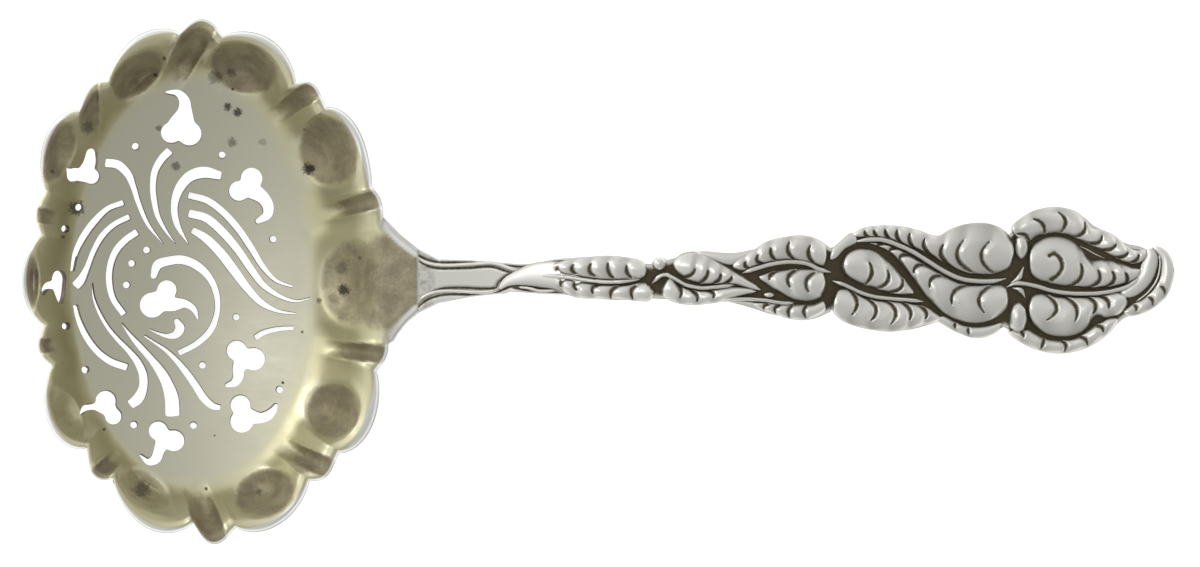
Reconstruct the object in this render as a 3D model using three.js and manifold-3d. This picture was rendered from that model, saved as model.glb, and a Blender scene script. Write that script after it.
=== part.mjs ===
// Antique silver sugar sifter spoon: a fluted, pierced gilt bowl with a flat tongue, hard-soldered into
// a rebate at the fan-shaped end of a handle that is struck with overlapping relief leaves.
// Millimetres. The spoon lies on a table at z = 0, mouth up. The origin is on the foot of the bowl,
// +X runs along the handle to its tip, +Y across the spoon and +Z up.
import * as THREE from "three";
import { mergeVertices } from "three/addons/utils/BufferGeometryUtils.js";
import Module from "manifold-3d";

const wasm = await Module();
wasm.setup();

// The bowl: an oval dish, wider than long, whose wall is drawn out into lobes and narrow channels.
const rimHalfLength = 21.6;
const rimHalfWidth = 31.5;
const rimCentreX = -2.3;
const rimHeight = 11.6;
const rimSlope = -0.08;
const floorHalfLength = 14.4;
const floorHalfWidth = 24.8;
const floorCentreX = -4.4;
const floorRadiusAlong = 50;
const floorRadiusAcross = 87;
const footDip = 0.12;
const sheet = 0.75;
const channelHalfWidth = 2.5;

// How full the lobes stand in plan, and how far the wall swells past its lip on the way up.
const lobePowerShare = 0.7;
const wallSwellShare = 0.5;

// The bowl's mesh: rings up the floor and the wall, and columns across each channel and each lobe.
const floorRingShares = [0.25, 0.62];
const wallRingShares = [0, 0.18, 0.36, 0.52, 0.68, 0.83, 1];
const channelStepShares = [-1, -0.6, 0, 0.6, 1];
const lobeSteps = 6;
const sparseStep = 5;

// The piercing: saw cuts and round holes through the floor.
const sawCut = 1.02;
const leafHoleRadius = 1.4;
const dotRadius = 0.52;
const noseShare = 0.3;
const leafHoleSides = 10;
const dotSides = 6;

// The joint: the bowl's tongue beds on a thin film of solder in the handle's rebate.
const tongueOffset = 0.4;
const tongueLength = 4.7;
const tongueRootHalfWidth = 7.9;
const tongueWaistHalfWidth = 4.9;
const tongueHalfWidth = 3.5;
const tongueWaistShare = 0.45;
const tongueSideSteps = 6;
const solderFilm = 0.2;
const solderInset = 0.2;
const seatClearance = 0.3;

// The fan at the handle's end stands out past the tongue by these widths: at the bowl's lip, halfway
// along the tongue and at its end.
const fanRootMargin = 0.4;
const fanMiddleMargin = 1;
const fanEndMargin = 0.55;

// The handle: arched along its length, flat behind, with its leaves raised above a sunk ground.
const handleLength = 96.1;
const handleHalfWidth = 9.15;
const handleDepth = 1.9;
const fanDepth = 1.6;
const archHeight = 14.6;
const archShare = 0.34;
const edgeRise = 0.25;
const leafRise = 1.05;
const bandRise = 0.3;
const groundInset = 0.28;
const archSteps = 30;
const backSkippedSteps = 2;

// A half leaf: steps along each scale, ranks across it, how full its ends and flanks stand, and how
// low the valley between two scales lies.
const scaleSteps = 3;
const leafRanks = 4;
const leafEndShare = 0.06;
const leafFullnessShare = 0.6;
const leafFlankShare = 0.7;
const valleyShare = 0.72;
const budSides = 10;
const budRings = 6;

// One overrun serves every cutter that must pass right through a piece.
const overrun = 20;
const wholeOverrun = overrun + overrun;
const bowlWidth = rimHalfWidth + rimHalfWidth;
const handleWidth = handleHalfWidth + handleHalfWidth;

// Each channel of the rim: its place round the oval and how far its foot leans round from there, in
// degrees, then shares of the oval's own radius, which are the crest before it, its tip, the crest
// after it, and the middle of the lobe that follows.
const channelRows = [
  { degrees: 16.6, lean: 3.5, reachShares: [1.04, 1.07, 1.035, 1.08] },
  { degrees: 51, lean: 5, reachShares: [0.995, 1.01, 0.96, 1.045] },
  { degrees: 92.2, lean: 6, reachShares: [1, 1.055, 1.01, 1.055] },
  { degrees: 131.8, lean: 2, reachShares: [0.995, 1.05, 1.03, 1.12] },
  { degrees: 164.2, lean: 0, reachShares: [1.035, 1.055, 1.005, 1.095] },
  { degrees: 195.5, lean: 0, reachShares: [0.99, 1.04, 0.995, 1.1] },
  { degrees: 229.3, lean: -2, reachShares: [1, 1.035, 0.99, 1.06] },
  { degrees: 272.2, lean: -6, reachShares: [0.995, 1.06, 1.015, 1.055] },
  { degrees: 312.4, lean: -5, reachShares: [1.01, 1.055, 1.045, 1.125] },
  { degrees: 344.9, lean: -3.5, reachShares: [1.05, 1.095, 1.06, 1.05] },
];

// The wall from the edge of the floor to the lip: share of the way out, share of the way up.
const wallShares = [
  [0, 0],
  [0.2, 0.07],
  [0.38, 0.24],
  [0.53, 0.52],
  [0.66, 0.82],
  [0.8, 1],
  [1, 0.97],
];

// Saw cuts, as points along each one: shares of the rim's half length and half width from the rim's
// centre, and the width there as a share of the saw cut.
const slotShares = {
  upperLeftPlume: [
    [-0.588, 0.476, 1.19],
    [-0.524, 0.468, 1.19],
    [-0.465, 0.429, 1.06],
    [-0.435, 0.379, 0.81],
    [-0.406, 0.315, 0.75],
    [-0.353, 0.23, 0.62],
    [-0.265, 0.151, 0.19],
  ],
  upperMiddlePlume: [
    [-0.226, 0.522, 1.12],
    [-0.271, 0.49, 1.06],
    [-0.309, 0.442, 1],
    [-0.321, 0.383, 0.88],
    [-0.315, 0.327, 0.88],
    [-0.294, 0.262, 0.75],
    [-0.247, 0.202, 0.5],
    [-0.191, 0.151, 0.19],
  ],
  upperRightPlume: [
    [0.071, 0.425, 1.25],
    [-0.024, 0.438, 1.62],
    [-0.106, 0.421, 1.5],
    [-0.168, 0.371, 1.31],
    [-0.197, 0.302, 1],
    [-0.182, 0.23, 0.88],
    [-0.118, 0.151, 0.25],
  ],
  outerSweep: [
    [-0.109, 0.345, 0.94],
    [-0.006, 0.325, 1],
    [0.088, 0.278, 1],
    [0.182, 0.206, 1],
    [0.259, 0.127, 0.94],
    [0.324, 0.056, 0.81],
    [0.4, 0.002, 0.56],
    [0.497, -0.023, 0.38],
  ],
  middleSweep: [
    [-0.106, 0.272, 1.12],
    [-0.012, 0.254, 1.19],
    [0.076, 0.204, 1.19],
    [0.171, 0.129, 1.12],
    [0.25, 0.05, 1.06],
    [0.324, -0.016, 0.88],
    [0.424, -0.062, 0.62],
    [0.518, -0.081, 0.44],
    [0.603, -0.069, 0.25],
  ],
  innerSweep: [
    [-0.088, 0.204, 0.94],
    [-0.018, 0.175, 1.19],
    [0.071, 0.115, 1.31],
    [0.153, 0.042, 1.31],
    [0.229, -0.028, 1.12],
    [0.312, -0.087, 0.94],
    [0.412, -0.121, 0.56],
    [0.518, -0.132, 0.31],
  ],
  neckDash: [
    [0.279, -0.228, 0.88],
    [0.329, -0.208, 0.81],
    [0.412, -0.194, 0.69],
    [0.5, -0.19, 0.62],
  ],
  scroll: [
    [-0.318, 0.022, 0.94],
    [-0.294, 0.065, 1.31],
    [-0.229, 0.081, 1.25],
    [-0.147, 0.085, 1.25],
    [-0.065, 0.062, 1.19],
    [0.009, 0.012, 1],
    [0.05, -0.056, 0.88],
    [0.053, -0.125, 0.81],
    [0.015, -0.198, 0.94],
    [-0.065, -0.252, 0.88],
    [-0.168, -0.29, 0.81],
  ],
  scrollCurl: [
    [-0.344, -0.195, 0.25],
    [-0.288, -0.212, 0.44],
    [-0.232, -0.222, 0.75],
    [-0.185, -0.214, 1.12],
    [-0.165, -0.19, 1.31],
    [-0.182, -0.163, 0.81],
  ],
  outerBackArc: [
    [-0.497, 0.315, 0.81],
    [-0.582, 0.292, 0.81],
    [-0.659, 0.242, 1],
    [-0.724, 0.181, 1],
    [-0.771, 0.113, 0.81],
    [-0.792, 0.042, 0.56],
  ],
  middleBackArc: [
    [-0.462, 0.258, 0.81],
    [-0.547, 0.228, 0.81],
    [-0.618, 0.181, 0.88],
    [-0.668, 0.119, 0.81],
    [-0.706, 0.052, 0.88],
    [-0.744, 0, 1.25],
    [-0.768, -0.018, 1.25],
  ],
  innerBackArc: [
    [-0.418, 0.196, 1],
    [-0.482, 0.165, 1],
    [-0.538, 0.121, 1],
    [-0.571, 0.06, 0.94],
    [-0.576, -0.008, 0.94],
    [-0.553, -0.073, 0.88],
    [-0.494, -0.132, 0.88],
  ],
  lowerHook: [
    [-0.676, -0.008, 0.19],
    [-0.668, -0.065, 0.38],
    [-0.635, -0.127, 0.56],
    [-0.582, -0.19, 0.62],
    [-0.521, -0.24, 0.69],
    [-0.459, -0.284, 0.81],
    [-0.409, -0.329, 1.06],
    [-0.379, -0.379, 1.19],
    [-0.379, -0.431, 1.25],
    [-0.406, -0.472, 1.5],
    [-0.447, -0.496, 1.25],
  ],
  lowerArc: [
    [-0.774, -0.099, 0.62],
    [-0.759, -0.145, 0.75],
    [-0.729, -0.198, 0.88],
    [-0.685, -0.25, 0.94],
    [-0.632, -0.292, 0.94],
    [-0.565, -0.325, 1],
    [-0.476, -0.347, 1],
  ],
  lowerMiddlePlume: [
    [-0.506, -0.169, 0.19],
    [-0.459, -0.214, 0.56],
    [-0.4, -0.262, 0.88],
    [-0.338, -0.31, 1],
    [-0.279, -0.363, 1.31],
    [-0.238, -0.415, 1.56],
    [-0.212, -0.472, 1.88],
    [-0.206, -0.536, 1.94],
  ],
  lowerRightPlume: [
    [-0.371, -0.222, 0.38],
    [-0.309, -0.25, 0.44],
    [-0.244, -0.281, 0.62],
    [-0.179, -0.325, 0.81],
    [-0.121, -0.374, 1],
    [-0.071, -0.423, 1.06],
    [-0.024, -0.472, 1.12],
    [0.029, -0.504, 1],
    [0.071, -0.51, 0.75],
  ],
};

// Clover-leaf holes: the centre of each round lobe with its radius as a share of the leaf hole's, and
// the curled stems that run out of them, written as the saw cuts are.
const cloverShares = {
  centre: {
    lobes: [
      [-0.326, -0.097, 1.18],
      [-0.241, -0.036, 0.93],
    ],
    stems: [
      [
        [-0.276, -0.097, 3.12],
        [-0.206, -0.093, 1.88],
        [-0.135, -0.091, 1.12],
        [-0.085, -0.113, 0.88],
        [-0.061, -0.151, 0.5],
      ],
    ],
  },
  top: {
    lobes: [
      [-0.212, 0.597, 0.98],
      [-0.106, 0.593, 1.12],
    ],
    stems: [
      [
        [-0.229, 0.762, 0.75],
        [-0.171, 0.756, 1],
        [-0.135, 0.726, 1.44],
        [-0.132, 0.685, 1.75],
        [-0.153, 0.633, 3.75],
      ],
    ],
  },
  topLeft: {
    lobes: [
      [-0.676, 0.421, 0.73],
      [-0.771, 0.425, 0.68],
    ],
    stems: [
      [
        [-0.679, 0.516, 1.25],
        [-0.688, 0.468, 1.75],
        [-0.718, 0.431, 2],
      ],
      [
        [-0.806, 0.448, 0.38],
        [-0.794, 0.423, 1],
      ],
    ],
  },
  topRight: {
    lobes: [
      [0.256, 0.413, 1.03],
      [0.182, 0.363, 0.95],
    ],
    stems: [
      [
        [0.247, 0.367, 2.5],
        [0.324, 0.335, 1.75],
        [0.353, 0.298, 1.56],
        [0.347, 0.266, 1.38],
        [0.294, 0.244, 0.88],
      ],
    ],
  },
  back: {
    lobes: [[-0.865, 0.008, 0.59]],
    stems: [
      [
        [-0.865, 0.02, 1.5],
        [-0.865, -0.012, 1.62],
        [-0.859, -0.06, 1.12],
        [-0.856, -0.085, 0.62],
      ],
      [
        [-0.882, -0.016, 1.12],
        [-0.926, -0.02, 1],
        [-0.944, -0.036, 0.75],
        [-0.951, -0.054, 0.38],
      ],
    ],
  },
  bottomLeft: {
    lobes: [
      [-0.594, -0.482, 0.95],
      [-0.55, -0.544, 0.79],
    ],
    stems: [
      [
        [-0.582, -0.524, 2.25],
        [-0.665, -0.51, 0.88],
        [-0.709, -0.51, 0.88],
        [-0.731, -0.532, 0.38],
      ],
    ],
  },
  bottom: {
    lobes: [
      [-0.288, -0.603, 0.91],
      [-0.197, -0.643, 1],
    ],
    stems: [
      [
        [-0.265, -0.641, 2.25],
        [-0.282, -0.681, 1.5],
        [-0.3, -0.714, 1.38],
        [-0.341, -0.726, 1],
        [-0.385, -0.704, 0.5],
      ],
    ],
  },
  middleRight: {
    lobes: [
      [0.168, -0.28, 0.95],
      [0.268, -0.315, 1.07],
    ],
    stems: [
      [
        [0.194, -0.315, 2.5],
        [0.179, -0.359, 1.62],
        [0.179, -0.383, 1.44],
        [0.159, -0.409, 1.19],
        [0.118, -0.419, 0.75],
      ],
    ],
  },
  bottomRight: {
    lobes: [
      [0.191, -0.5, 0.95],
      [0.2, -0.565, 1.09],
    ],
    stems: [
      [
        [0.235, -0.536, 2.25],
        [0.306, -0.552, 1.5],
        [0.353, -0.542, 1.38],
        [0.382, -0.526, 1.06],
        [0.394, -0.51, 0.75],
      ],
    ],
  },
};

// Small round holes, by the same shares of the rim's half length and half width.
const dotShares = [
  [-0.422, 0.542],
  [0.084, 0.508],
  [-0.751, 0.296],
  [-0.829, 0.21],
  [-0.359, 0.125],
  [-0.446, 0.071],
  [-0.477, -0.016],
  [0.382, 0.169],
  [0.165, -0.146],
  [-0.032, -0.34],
  [-0.826, -0.181],
  [-0.715, -0.357],
  [-0.431, -0.579],
  [-0.083, -0.582],
  [0.421, -0.438],
];

// The handle's outline from the joint to the tip: shares of its length and of its half width.
const upperEdgeShares = [
  [0.004, 0.42],
  [0.028, 0.32],
  [0.07, 0.31],
  [0.123, 0.26],
  [0.162, 0.28],
  [0.215, 0.33],
  [0.268, 0.31],
  [0.31, 0.26],
  [0.347, 0.38],
  [0.42, 0.39],
  [0.448, 0.47],
  [0.493, 0.61],
  [0.526, 0.57],
  [0.543, 0.49],
  [0.559, 0.54],
  [0.596, 0.74],
  [0.638, 0.75],
  [0.684, 0.61],
  [0.72, 0.78],
  [0.76, 0.76],
  [0.781, 0.68],
  [0.807, 0.89],
  [0.843, 1],
  [0.88, 0.89],
  [0.915, 0.67],
  [0.955, 0.42],
  [0.975, 0.47],
  [0.989, 0.43],
];
const lowerEdgeShares = [
  [0.004, -0.47],
  [0.028, -0.33],
  [0.07, -0.25],
  [0.123, -0.18],
  [0.162, -0.21],
  [0.268, -0.25],
  [0.374, -0.31],
  [0.42, -0.32],
  [0.453, -0.4],
  [0.499, -0.53],
  [0.526, -0.49],
  [0.543, -0.42],
  [0.564, -0.54],
  [0.598, -0.65],
  [0.645, -0.68],
  [0.684, -0.58],
  [0.717, -0.72],
  [0.749, -0.76],
  [0.774, -0.67],
  [0.812, -0.9],
  [0.849, -0.99],
  [0.889, -0.92],
  [0.922, -0.61],
  [0.955, -0.44],
  [0.988, -0.25],
  [0.999, 0.01],
];

// Relief leaves. Each half leaf lies between its midrib side and its outer side, both listed from one
// end to the other as shares of the handle's length and half width, and it has a number of scales.
const leafShares = {
  firstUpper: {
    scales: 6,
    midrib: [
      [0.125, -0.06],
      [0.176, 0.06],
      [0.229, 0],
      [0.301, 0.03],
    ],
    outer: [
      [0.125, 0.01],
      [0.162, 0.26],
      [0.215, 0.33],
      [0.268, 0.32],
      [0.301, 0.19],
    ],
  },
  firstLower: {
    scales: 6,
    midrib: [
      [0.125, -0.08],
      [0.176, -0.03],
      [0.229, -0.04],
      [0.31, -0.04],
    ],
    outer: [
      [0.125, -0.15],
      [0.176, -0.17],
      [0.229, -0.24],
      [0.281, -0.26],
      [0.31, -0.15],
    ],
  },
  secondUpper: {
    scales: 5,
    midrib: [
      [0.332, 0.12],
      [0.355, 0],
      [0.379, -0.06],
      [0.419, -0.04],
      [0.456, -0.14],
    ],
    outer: [
      [0.332, 0.21],
      [0.347, 0.38],
      [0.374, 0.39],
      [0.413, 0.17],
      [0.456, -0.12],
    ],
  },
  secondLower: {
    scales: 4,
    midrib: [
      [0.318, -0.06],
      [0.35, -0.08],
      [0.379, -0.14],
      [0.419, -0.1],
      [0.456, -0.17],
    ],
    outer: [
      [0.318, -0.18],
      [0.339, -0.29],
      [0.374, -0.32],
      [0.42, -0.24],
      [0.456, -0.19],
    ],
  },
  thirdUpper: {
    scales: 6,
    midrib: [
      [0.421, 0.17],
      [0.453, 0.21],
      [0.493, 0.29],
      [0.522, 0.24],
      [0.542, 0.28],
    ],
    outer: [
      [0.419, 0.21],
      [0.448, 0.46],
      [0.493, 0.61],
      [0.522, 0.6],
      [0.542, 0.47],
    ],
  },
  thirdLower: {
    scales: 4,
    midrib: [
      [0.449, 0.03],
      [0.473, 0.17],
      [0.506, 0.19],
      [0.54, 0.08],
    ],
    outer: [
      [0.449, -0.04],
      [0.48, -0.18],
      [0.514, -0.28],
      [0.54, -0.18],
    ],
  },
  thirdSpur: {
    scales: 5,
    midrib: [
      [0.433, -0.29],
      [0.485, -0.31],
      [0.519, -0.32],
      [0.543, -0.35],
    ],
    outer: [
      [0.433, -0.35],
      [0.469, -0.47],
      [0.513, -0.54],
      [0.543, -0.43],
    ],
  },
  fourthUpper: {
    scales: 10,
    midrib: [
      [0.559, 0.26],
      [0.569, 0.49],
      [0.598, 0.58],
      [0.627, 0.54],
      [0.664, 0.35],
      [0.704, 0.12],
      [0.75, 0.01],
      [0.785, 0.12],
    ],
    outer: [
      [0.548, 0.26],
      [0.559, 0.54],
      [0.596, 0.74],
      [0.638, 0.75],
      [0.684, 0.61],
      [0.72, 0.78],
      [0.76, 0.78],
      [0.787, 0.51],
    ],
  },
  fourthLower: {
    scales: 7,
    midrib: [
      [0.588, 0.53],
      [0.627, 0.49],
      [0.664, 0.31],
      [0.704, 0.08],
      [0.75, -0.04],
      [0.782, 0.01],
    ],
    outer: [
      [0.59, 0.47],
      [0.625, 0.35],
      [0.654, -0.03],
      [0.697, -0.44],
      [0.75, -0.56],
      [0.782, -0.31],
    ],
  },
  fifthUpper: {
    scales: 4,
    midrib: [
      [0.56, 0.18],
      [0.579, 0.01],
      [0.612, -0.08],
      [0.657, -0.18],
    ],
    outer: [
      [0.561, 0.28],
      [0.585, 0.44],
      [0.622, 0.29],
      [0.657, -0.14],
    ],
  },
  fifthLower: {
    scales: 6,
    midrib: [
      [0.546, -0.25],
      [0.564, -0.14],
      [0.598, -0.28],
      [0.638, -0.33],
      [0.688, -0.46],
    ],
    outer: [
      [0.546, -0.38],
      [0.564, -0.54],
      [0.598, -0.65],
      [0.645, -0.68],
      [0.688, -0.56],
    ],
  },
  fourthSpur: {
    scales: 3,
    midrib: [
      [0.695, -0.51],
      [0.717, -0.6],
      [0.749, -0.6],
      [0.775, -0.49],
    ],
    outer: [
      [0.695, -0.56],
      [0.717, -0.72],
      [0.749, -0.76],
      [0.775, -0.62],
    ],
  },
  crownOuterUpper: {
    scales: 8,
    midrib: [
      [0.791, 0.6],
      [0.814, 0.6],
      [0.843, 0.68],
      [0.876, 0.58],
      [0.909, 0.35],
      [0.964, 0.32],
    ],
    outer: [
      [0.785, 0.69],
      [0.807, 0.9],
      [0.843, 1.03],
      [0.88, 0.89],
      [0.915, 0.68],
      [0.964, 0.44],
    ],
  },
  crownUpper: {
    scales: 6,
    midrib: [
      [0.81, 0.24],
      [0.823, 0.01],
      [0.863, -0.1],
      [0.909, -0.1],
      [0.947, 0],
      [0.965, 0.16],
    ],
    outer: [
      [0.81, 0.35],
      [0.831, 0.6],
      [0.865, 0.56],
      [0.892, 0.31],
      [0.935, 0.24],
      [0.965, 0.25],
    ],
  },
  crownLower: {
    scales: 5,
    midrib: [
      [0.807, -0.31],
      [0.823, -0.18],
      [0.856, -0.24],
      [0.896, -0.25],
      [0.941, -0.08],
    ],
    outer: [
      [0.807, -0.43],
      [0.823, -0.65],
      [0.856, -0.76],
      [0.893, -0.57],
      [0.941, -0.26],
    ],
  },
  crownOuterLower: {
    scales: 5,
    midrib: [
      [0.791, -0.61],
      [0.815, -0.74],
      [0.852, -0.83],
      [0.889, -0.74],
      [0.931, -0.49],
    ],
    outer: [
      [0.785, -0.72],
      [0.812, -0.9],
      [0.849, -0.99],
      [0.889, -0.9],
      [0.931, -0.54],
    ],
  },
  tipLeaf: {
    scales: 3,
    midrib: [
      [0.939, -0.14],
      [0.955, -0.01],
      [0.968, 0.18],
      [0.972, 0.38],
    ],
    outer: [
      [0.941, -0.28],
      [0.963, -0.1],
      [0.979, 0.15],
      [0.978, 0.43],
    ],
  },
  tipCurl: {
    scales: 5,
    midrib: [
      [0.972, 0.4],
      [0.983, 0.32],
      [0.987, 0.12],
      [0.974, -0.14],
      [0.937, -0.43],
    ],
    outer: [
      [0.975, 0.47],
      [0.989, 0.43],
      [1, 0.18],
      [0.988, -0.25],
      [0.938, -0.47],
    ],
  },
};

// Small round buds between the leaves: their place, and their half sizes as shares of the handle's
// half width.
const budShares = [
  { at: [0.112, -0.11], half: [0.12, 0.07] },
  { at: [0.32, 0.21], half: [0.12, 0.12] },
  { at: [0.799, 0.44], half: [0.08, 0.16] },
  { at: [0.795, -0.49], half: [0.1, 0.16] },
];

// Raised bands along both edges of the plain neck panel.
const bandShares = [
  [
    [0.03, 0.3],
    [0.07, 0.29],
    [0.14, 0.23],
    [0.14, 0.14],
    [0.07, 0.17],
    [0.03, 0.19],
  ],
  [
    [0.03, -0.3],
    [0.07, -0.22],
    [0.115, -0.17],
    [0.115, -0.1],
    [0.07, -0.11],
    [0.03, -0.18],
  ],
];

// Derived places.
const neckRim = rimCentreX + rimHalfLength;
const tongueStart = neckRim + tongueOffset;
const tongueEnd = tongueStart + tongueLength;
const tongueTop = rimHeight + rimSlope * neckRim;
const tongueUnder = tongueTop - sheet;
const rebateTop = tongueUnder - solderFilm;
const stepX = tongueEnd + solderFilm;
const fanStart = tongueStart + seatClearance;
const tipTop = handleDepth;

// Turns a closed geometry into a solid that can be joined and cut.
function solidFrom(geometry) {
  geometry.deleteAttribute("normal");
  geometry.deleteAttribute("uv");
  const merged = mergeVertices(geometry, 1e-5);
  const mesh = new wasm.Mesh({
    numProp: 3,
    vertProperties: merged.attributes.position.array,
    triVerts: new Uint32Array(merged.index.array),
  });
  return new wasm.Manifold(mesh);
}

function geometryFrom(solid) {
  const mesh = solid.getMesh();
  const geometry = new THREE.BufferGeometry();
  geometry.setAttribute("position", new THREE.BufferAttribute(mesh.vertProperties, 3));
  geometry.setIndex(new THREE.BufferAttribute(mesh.triVerts, 1));
  geometry.computeVertexNormals();
  return geometry;
}

function indexedGeometry(points, faces) {
  const geometry = new THREE.BufferGeometry();
  geometry.setFromPoints(points);
  geometry.setIndex(faces);
  return geometry;
}

// An upright prism over a plan outline.
function uprightPrism(outline, bottom, height) {
  const shape = new THREE.Shape(outline);
  const geometry = new THREE.ExtrudeGeometry(shape, { depth: height, bevelEnabled: false });
  geometry.translate(0, 0, bottom);
  return solidFrom(geometry);
}

// A prism that runs across the spoon, over a side outline of (x, z) points.
function crosswisePrism(outline, halfWidth) {
  const shape = new THREE.Shape(outline);
  const geometry = new THREE.ExtrudeGeometry(shape, { depth: halfWidth + halfWidth, bevelEnabled: false });
  geometry.rotateX(Math.PI / 2);
  geometry.translate(0, halfWidth, 0);
  return solidFrom(geometry);
}

function blend(from, to, share) {
  return from + (to - from) * share;
}

function smoothStep(share) {
  const part = Math.min(Math.max(share, 0), 1);
  return part * part * (3 - 2 * part);
}

// The columns of the bowl's mesh: for each one its turn round the oval and its reach at the rim, and
// how far it leans round from there at the foot of the wall.
function rimColumns() {
  const columns = [];
  channelRows.forEach((row, index) => {
    const next = channelRows[(index + 1) % channelRows.length];
    const turn = THREE.MathUtils.degToRad(row.degrees);
    const [crestBefore, tip, crestAfter, lobe] = row.reachShares;
    const lean = THREE.MathUtils.degToRad(row.lean);
    const nextLean = THREE.MathUtils.degToRad(next.lean);
    for (const step of channelStepShares) {
      const crest = blend(crestBefore, crestAfter, (step + 1) / 2);
      const reach = crest + (tip - crest) * (1 - step * step);
      columns.push({ turn: turn + step * channelTurn(turn), reach, lean });
    }
    const full = index + 1 < channelRows.length ? 0 : 2 * Math.PI;
    const nextTurn = THREE.MathUtils.degToRad(next.degrees) + full;
    const start = turn + channelTurn(turn);
    const end = nextTurn - channelTurn(nextTurn);
    for (let step = 1; step < lobeSteps; step += 1) {
      const share = step / lobeSteps;
      const crest = blend(crestAfter, next.reachShares[0], share);
      const swell = Math.pow(Math.sin(Math.PI * share), lobePowerShare);
      const reach = crest + (lobe - crest) * swell;
      columns.push({ turn: blend(start, end, share), reach, lean: blend(lean, nextLean, share) });
    }
  });
  return columns;
}

// Half of a channel's width, as a turn round the oval.
function channelTurn(turn) {
  return channelHalfWidth / Math.hypot(rimHalfLength * Math.sin(turn), rimHalfWidth * Math.cos(turn));
}

function floorHeight(x, y) {
  const along = (x * x) / floorRadiusAlong;
  const across = (y * y) / floorRadiusAcross;
  return (along + across) / 2 + sheet - footDip;
}

// A point of the floor's inner face, at a share of the way from the foot to the edge of the floor.
function floorPoint(turn, share) {
  const x = share * (floorCentreX + floorHalfLength * Math.cos(turn));
  const y = share * floorHalfWidth * Math.sin(turn);
  return new THREE.Vector3(x, y, floorHeight(x, y));
}

const wallCurve = new THREE.SplineCurve(wallShares.map(([out, up]) => new THREE.Vector2(out, up)));

// A point of the bowl's inner face on the wall, at a share of the way from the floor to the lip.
function wallPoint(turn, reach, share) {
  const foot = floorPoint(turn, 1);
  const swell = smoothStep(share + share) + wallSwellShare * Math.sin(Math.PI * share);
  const bulge = 1 + (reach - 1) * swell;
  const rimX = rimCentreX + bulge * rimHalfLength * Math.cos(turn);
  const rimY = bulge * rimHalfWidth * Math.sin(turn);
  const rimZ = rimHeight + rimSlope * rimX;
  const { x: out, y: up } = wallCurve.getPoint(share);
  return new THREE.Vector3(blend(foot.x, rimX, out), blend(foot.y, rimY, out), blend(foot.z, rimZ, up));
}

// The direction through the sheet, from the inner face to the outer one, on the plain oval form.
function outwardOf(pointAt, turn, share) {
  const small = 1e-3;
  const alongRim = pointAt(turn + small, share).sub(pointAt(turn - small, share));
  const upWall = pointAt(turn, Math.min(share + small, 1)).sub(pointAt(turn, Math.max(share - small, 0)));
  return alongRim.cross(upWall).normalize();
}

function plainWall(turn, share) {
  return wallPoint(turn, 1, share);
}

// The bowl's sheet as rings of points, from the middle of the floor out to the lip and back below.
function bowlShell() {
  const columns = rimColumns();
  const inner = [];
  const outer = [];
  const sparse = columns.filter((_, index) => index % sparseStep === 0);
  for (const share of floorRingShares) {
    const turns = sparse.map(({ turn, lean }) => turn + lean);
    inner.push(turns.map((turn) => floorPoint(turn, share)));
    outer.push(turns.map((turn) => offsetPoint(floorPoint, turn, share, floorPoint(turn, share))));
  }
  for (const share of wallRingShares) {
    const places = columns.map(({ turn, reach, lean }) => ({ turn: turn + lean * (1 - share), reach }));
    inner.push(places.map(({ turn, reach }) => wallPoint(turn, reach, share)));
    const below = ({ turn, reach }) => offsetPoint(plainWall, turn, share, wallPoint(turn, reach, share));
    outer.push(places.map(below));
  }
  const innerCentre = floorPoint(0, 0);
  const outerCentre = innerCentre.clone().setZ(innerCentre.z - sheet);
  return closedDish(inner, outer, innerCentre, outerCentre);
}

function offsetPoint(pointAt, turn, share, point) {
  return point.clone().addScaledVector(outwardOf(pointAt, turn, share), sheet);
}

// Closes two stacks of rings, each with a centre, into one sheet with an edge. A ring may have fewer
// points than the ring outside it, by a whole number of times.
function closedDish(inner, outer, innerCentre, outerCentre) {
  const rings = [[innerCentre], ...inner, ...[...outer].reverse(), [outerCentre]];
  const points = rings.flat();
  const faces = [];
  let start = 0;
  for (let index = 0; index + 1 < rings.length; index += 1) {
    const nextStart = start + rings[index].length;
    joinRings(faces, start, rings[index].length, nextStart, rings[index + 1].length);
    start = nextStart;
  }
  return solidFrom(indexedGeometry(points, faces));
}

// Joins a ring to the next one with triangles, whichever of the two has more points.
function joinRings(faces, start, count, nextStart, nextCount) {
  const most = Math.max(count, nextCount);
  for (let step = 0; step < most; step += 1) {
    const here = Math.floor((step * count) / most);
    const hereNext = Math.floor(((step + 1) * count) / most);
    const there = Math.floor((step * nextCount) / most);
    const thereNext = Math.floor(((step + 1) * nextCount) / most);
    if (there !== thereNext) {
      faces.push(start + here, nextStart + there, nextStart + (thereNext % nextCount));
    }
    if (here !== hereNext) {
      faces.push(start + here, nextStart + (thereNext % nextCount), start + (hereNext % count));
    }
  }
}

// The flat tongue that runs from the neck lobe to the joint.
function bowlTongue() {
  const middle = blend(tongueStart, tongueEnd, tongueWaistShare);
  const shape = new THREE.Shape();
  shape.moveTo(tongueStart, -tongueRootHalfWidth);
  shape.quadraticCurveTo(middle, -tongueWaistHalfWidth, tongueEnd, -tongueHalfWidth);
  shape.lineTo(tongueEnd, tongueHalfWidth);
  shape.quadraticCurveTo(middle, tongueWaistHalfWidth, tongueStart, tongueRootHalfWidth);
  return uprightPrism(shape.getPoints(tongueSideSteps), tongueUnder, sheet);
}

// A plan point from shares of the rim's half length and half width.
function onBowl(alongShare, acrossShare) {
  return new THREE.Vector2(rimCentreX + alongShare * rimHalfLength, acrossShare * rimHalfWidth);
}

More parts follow.
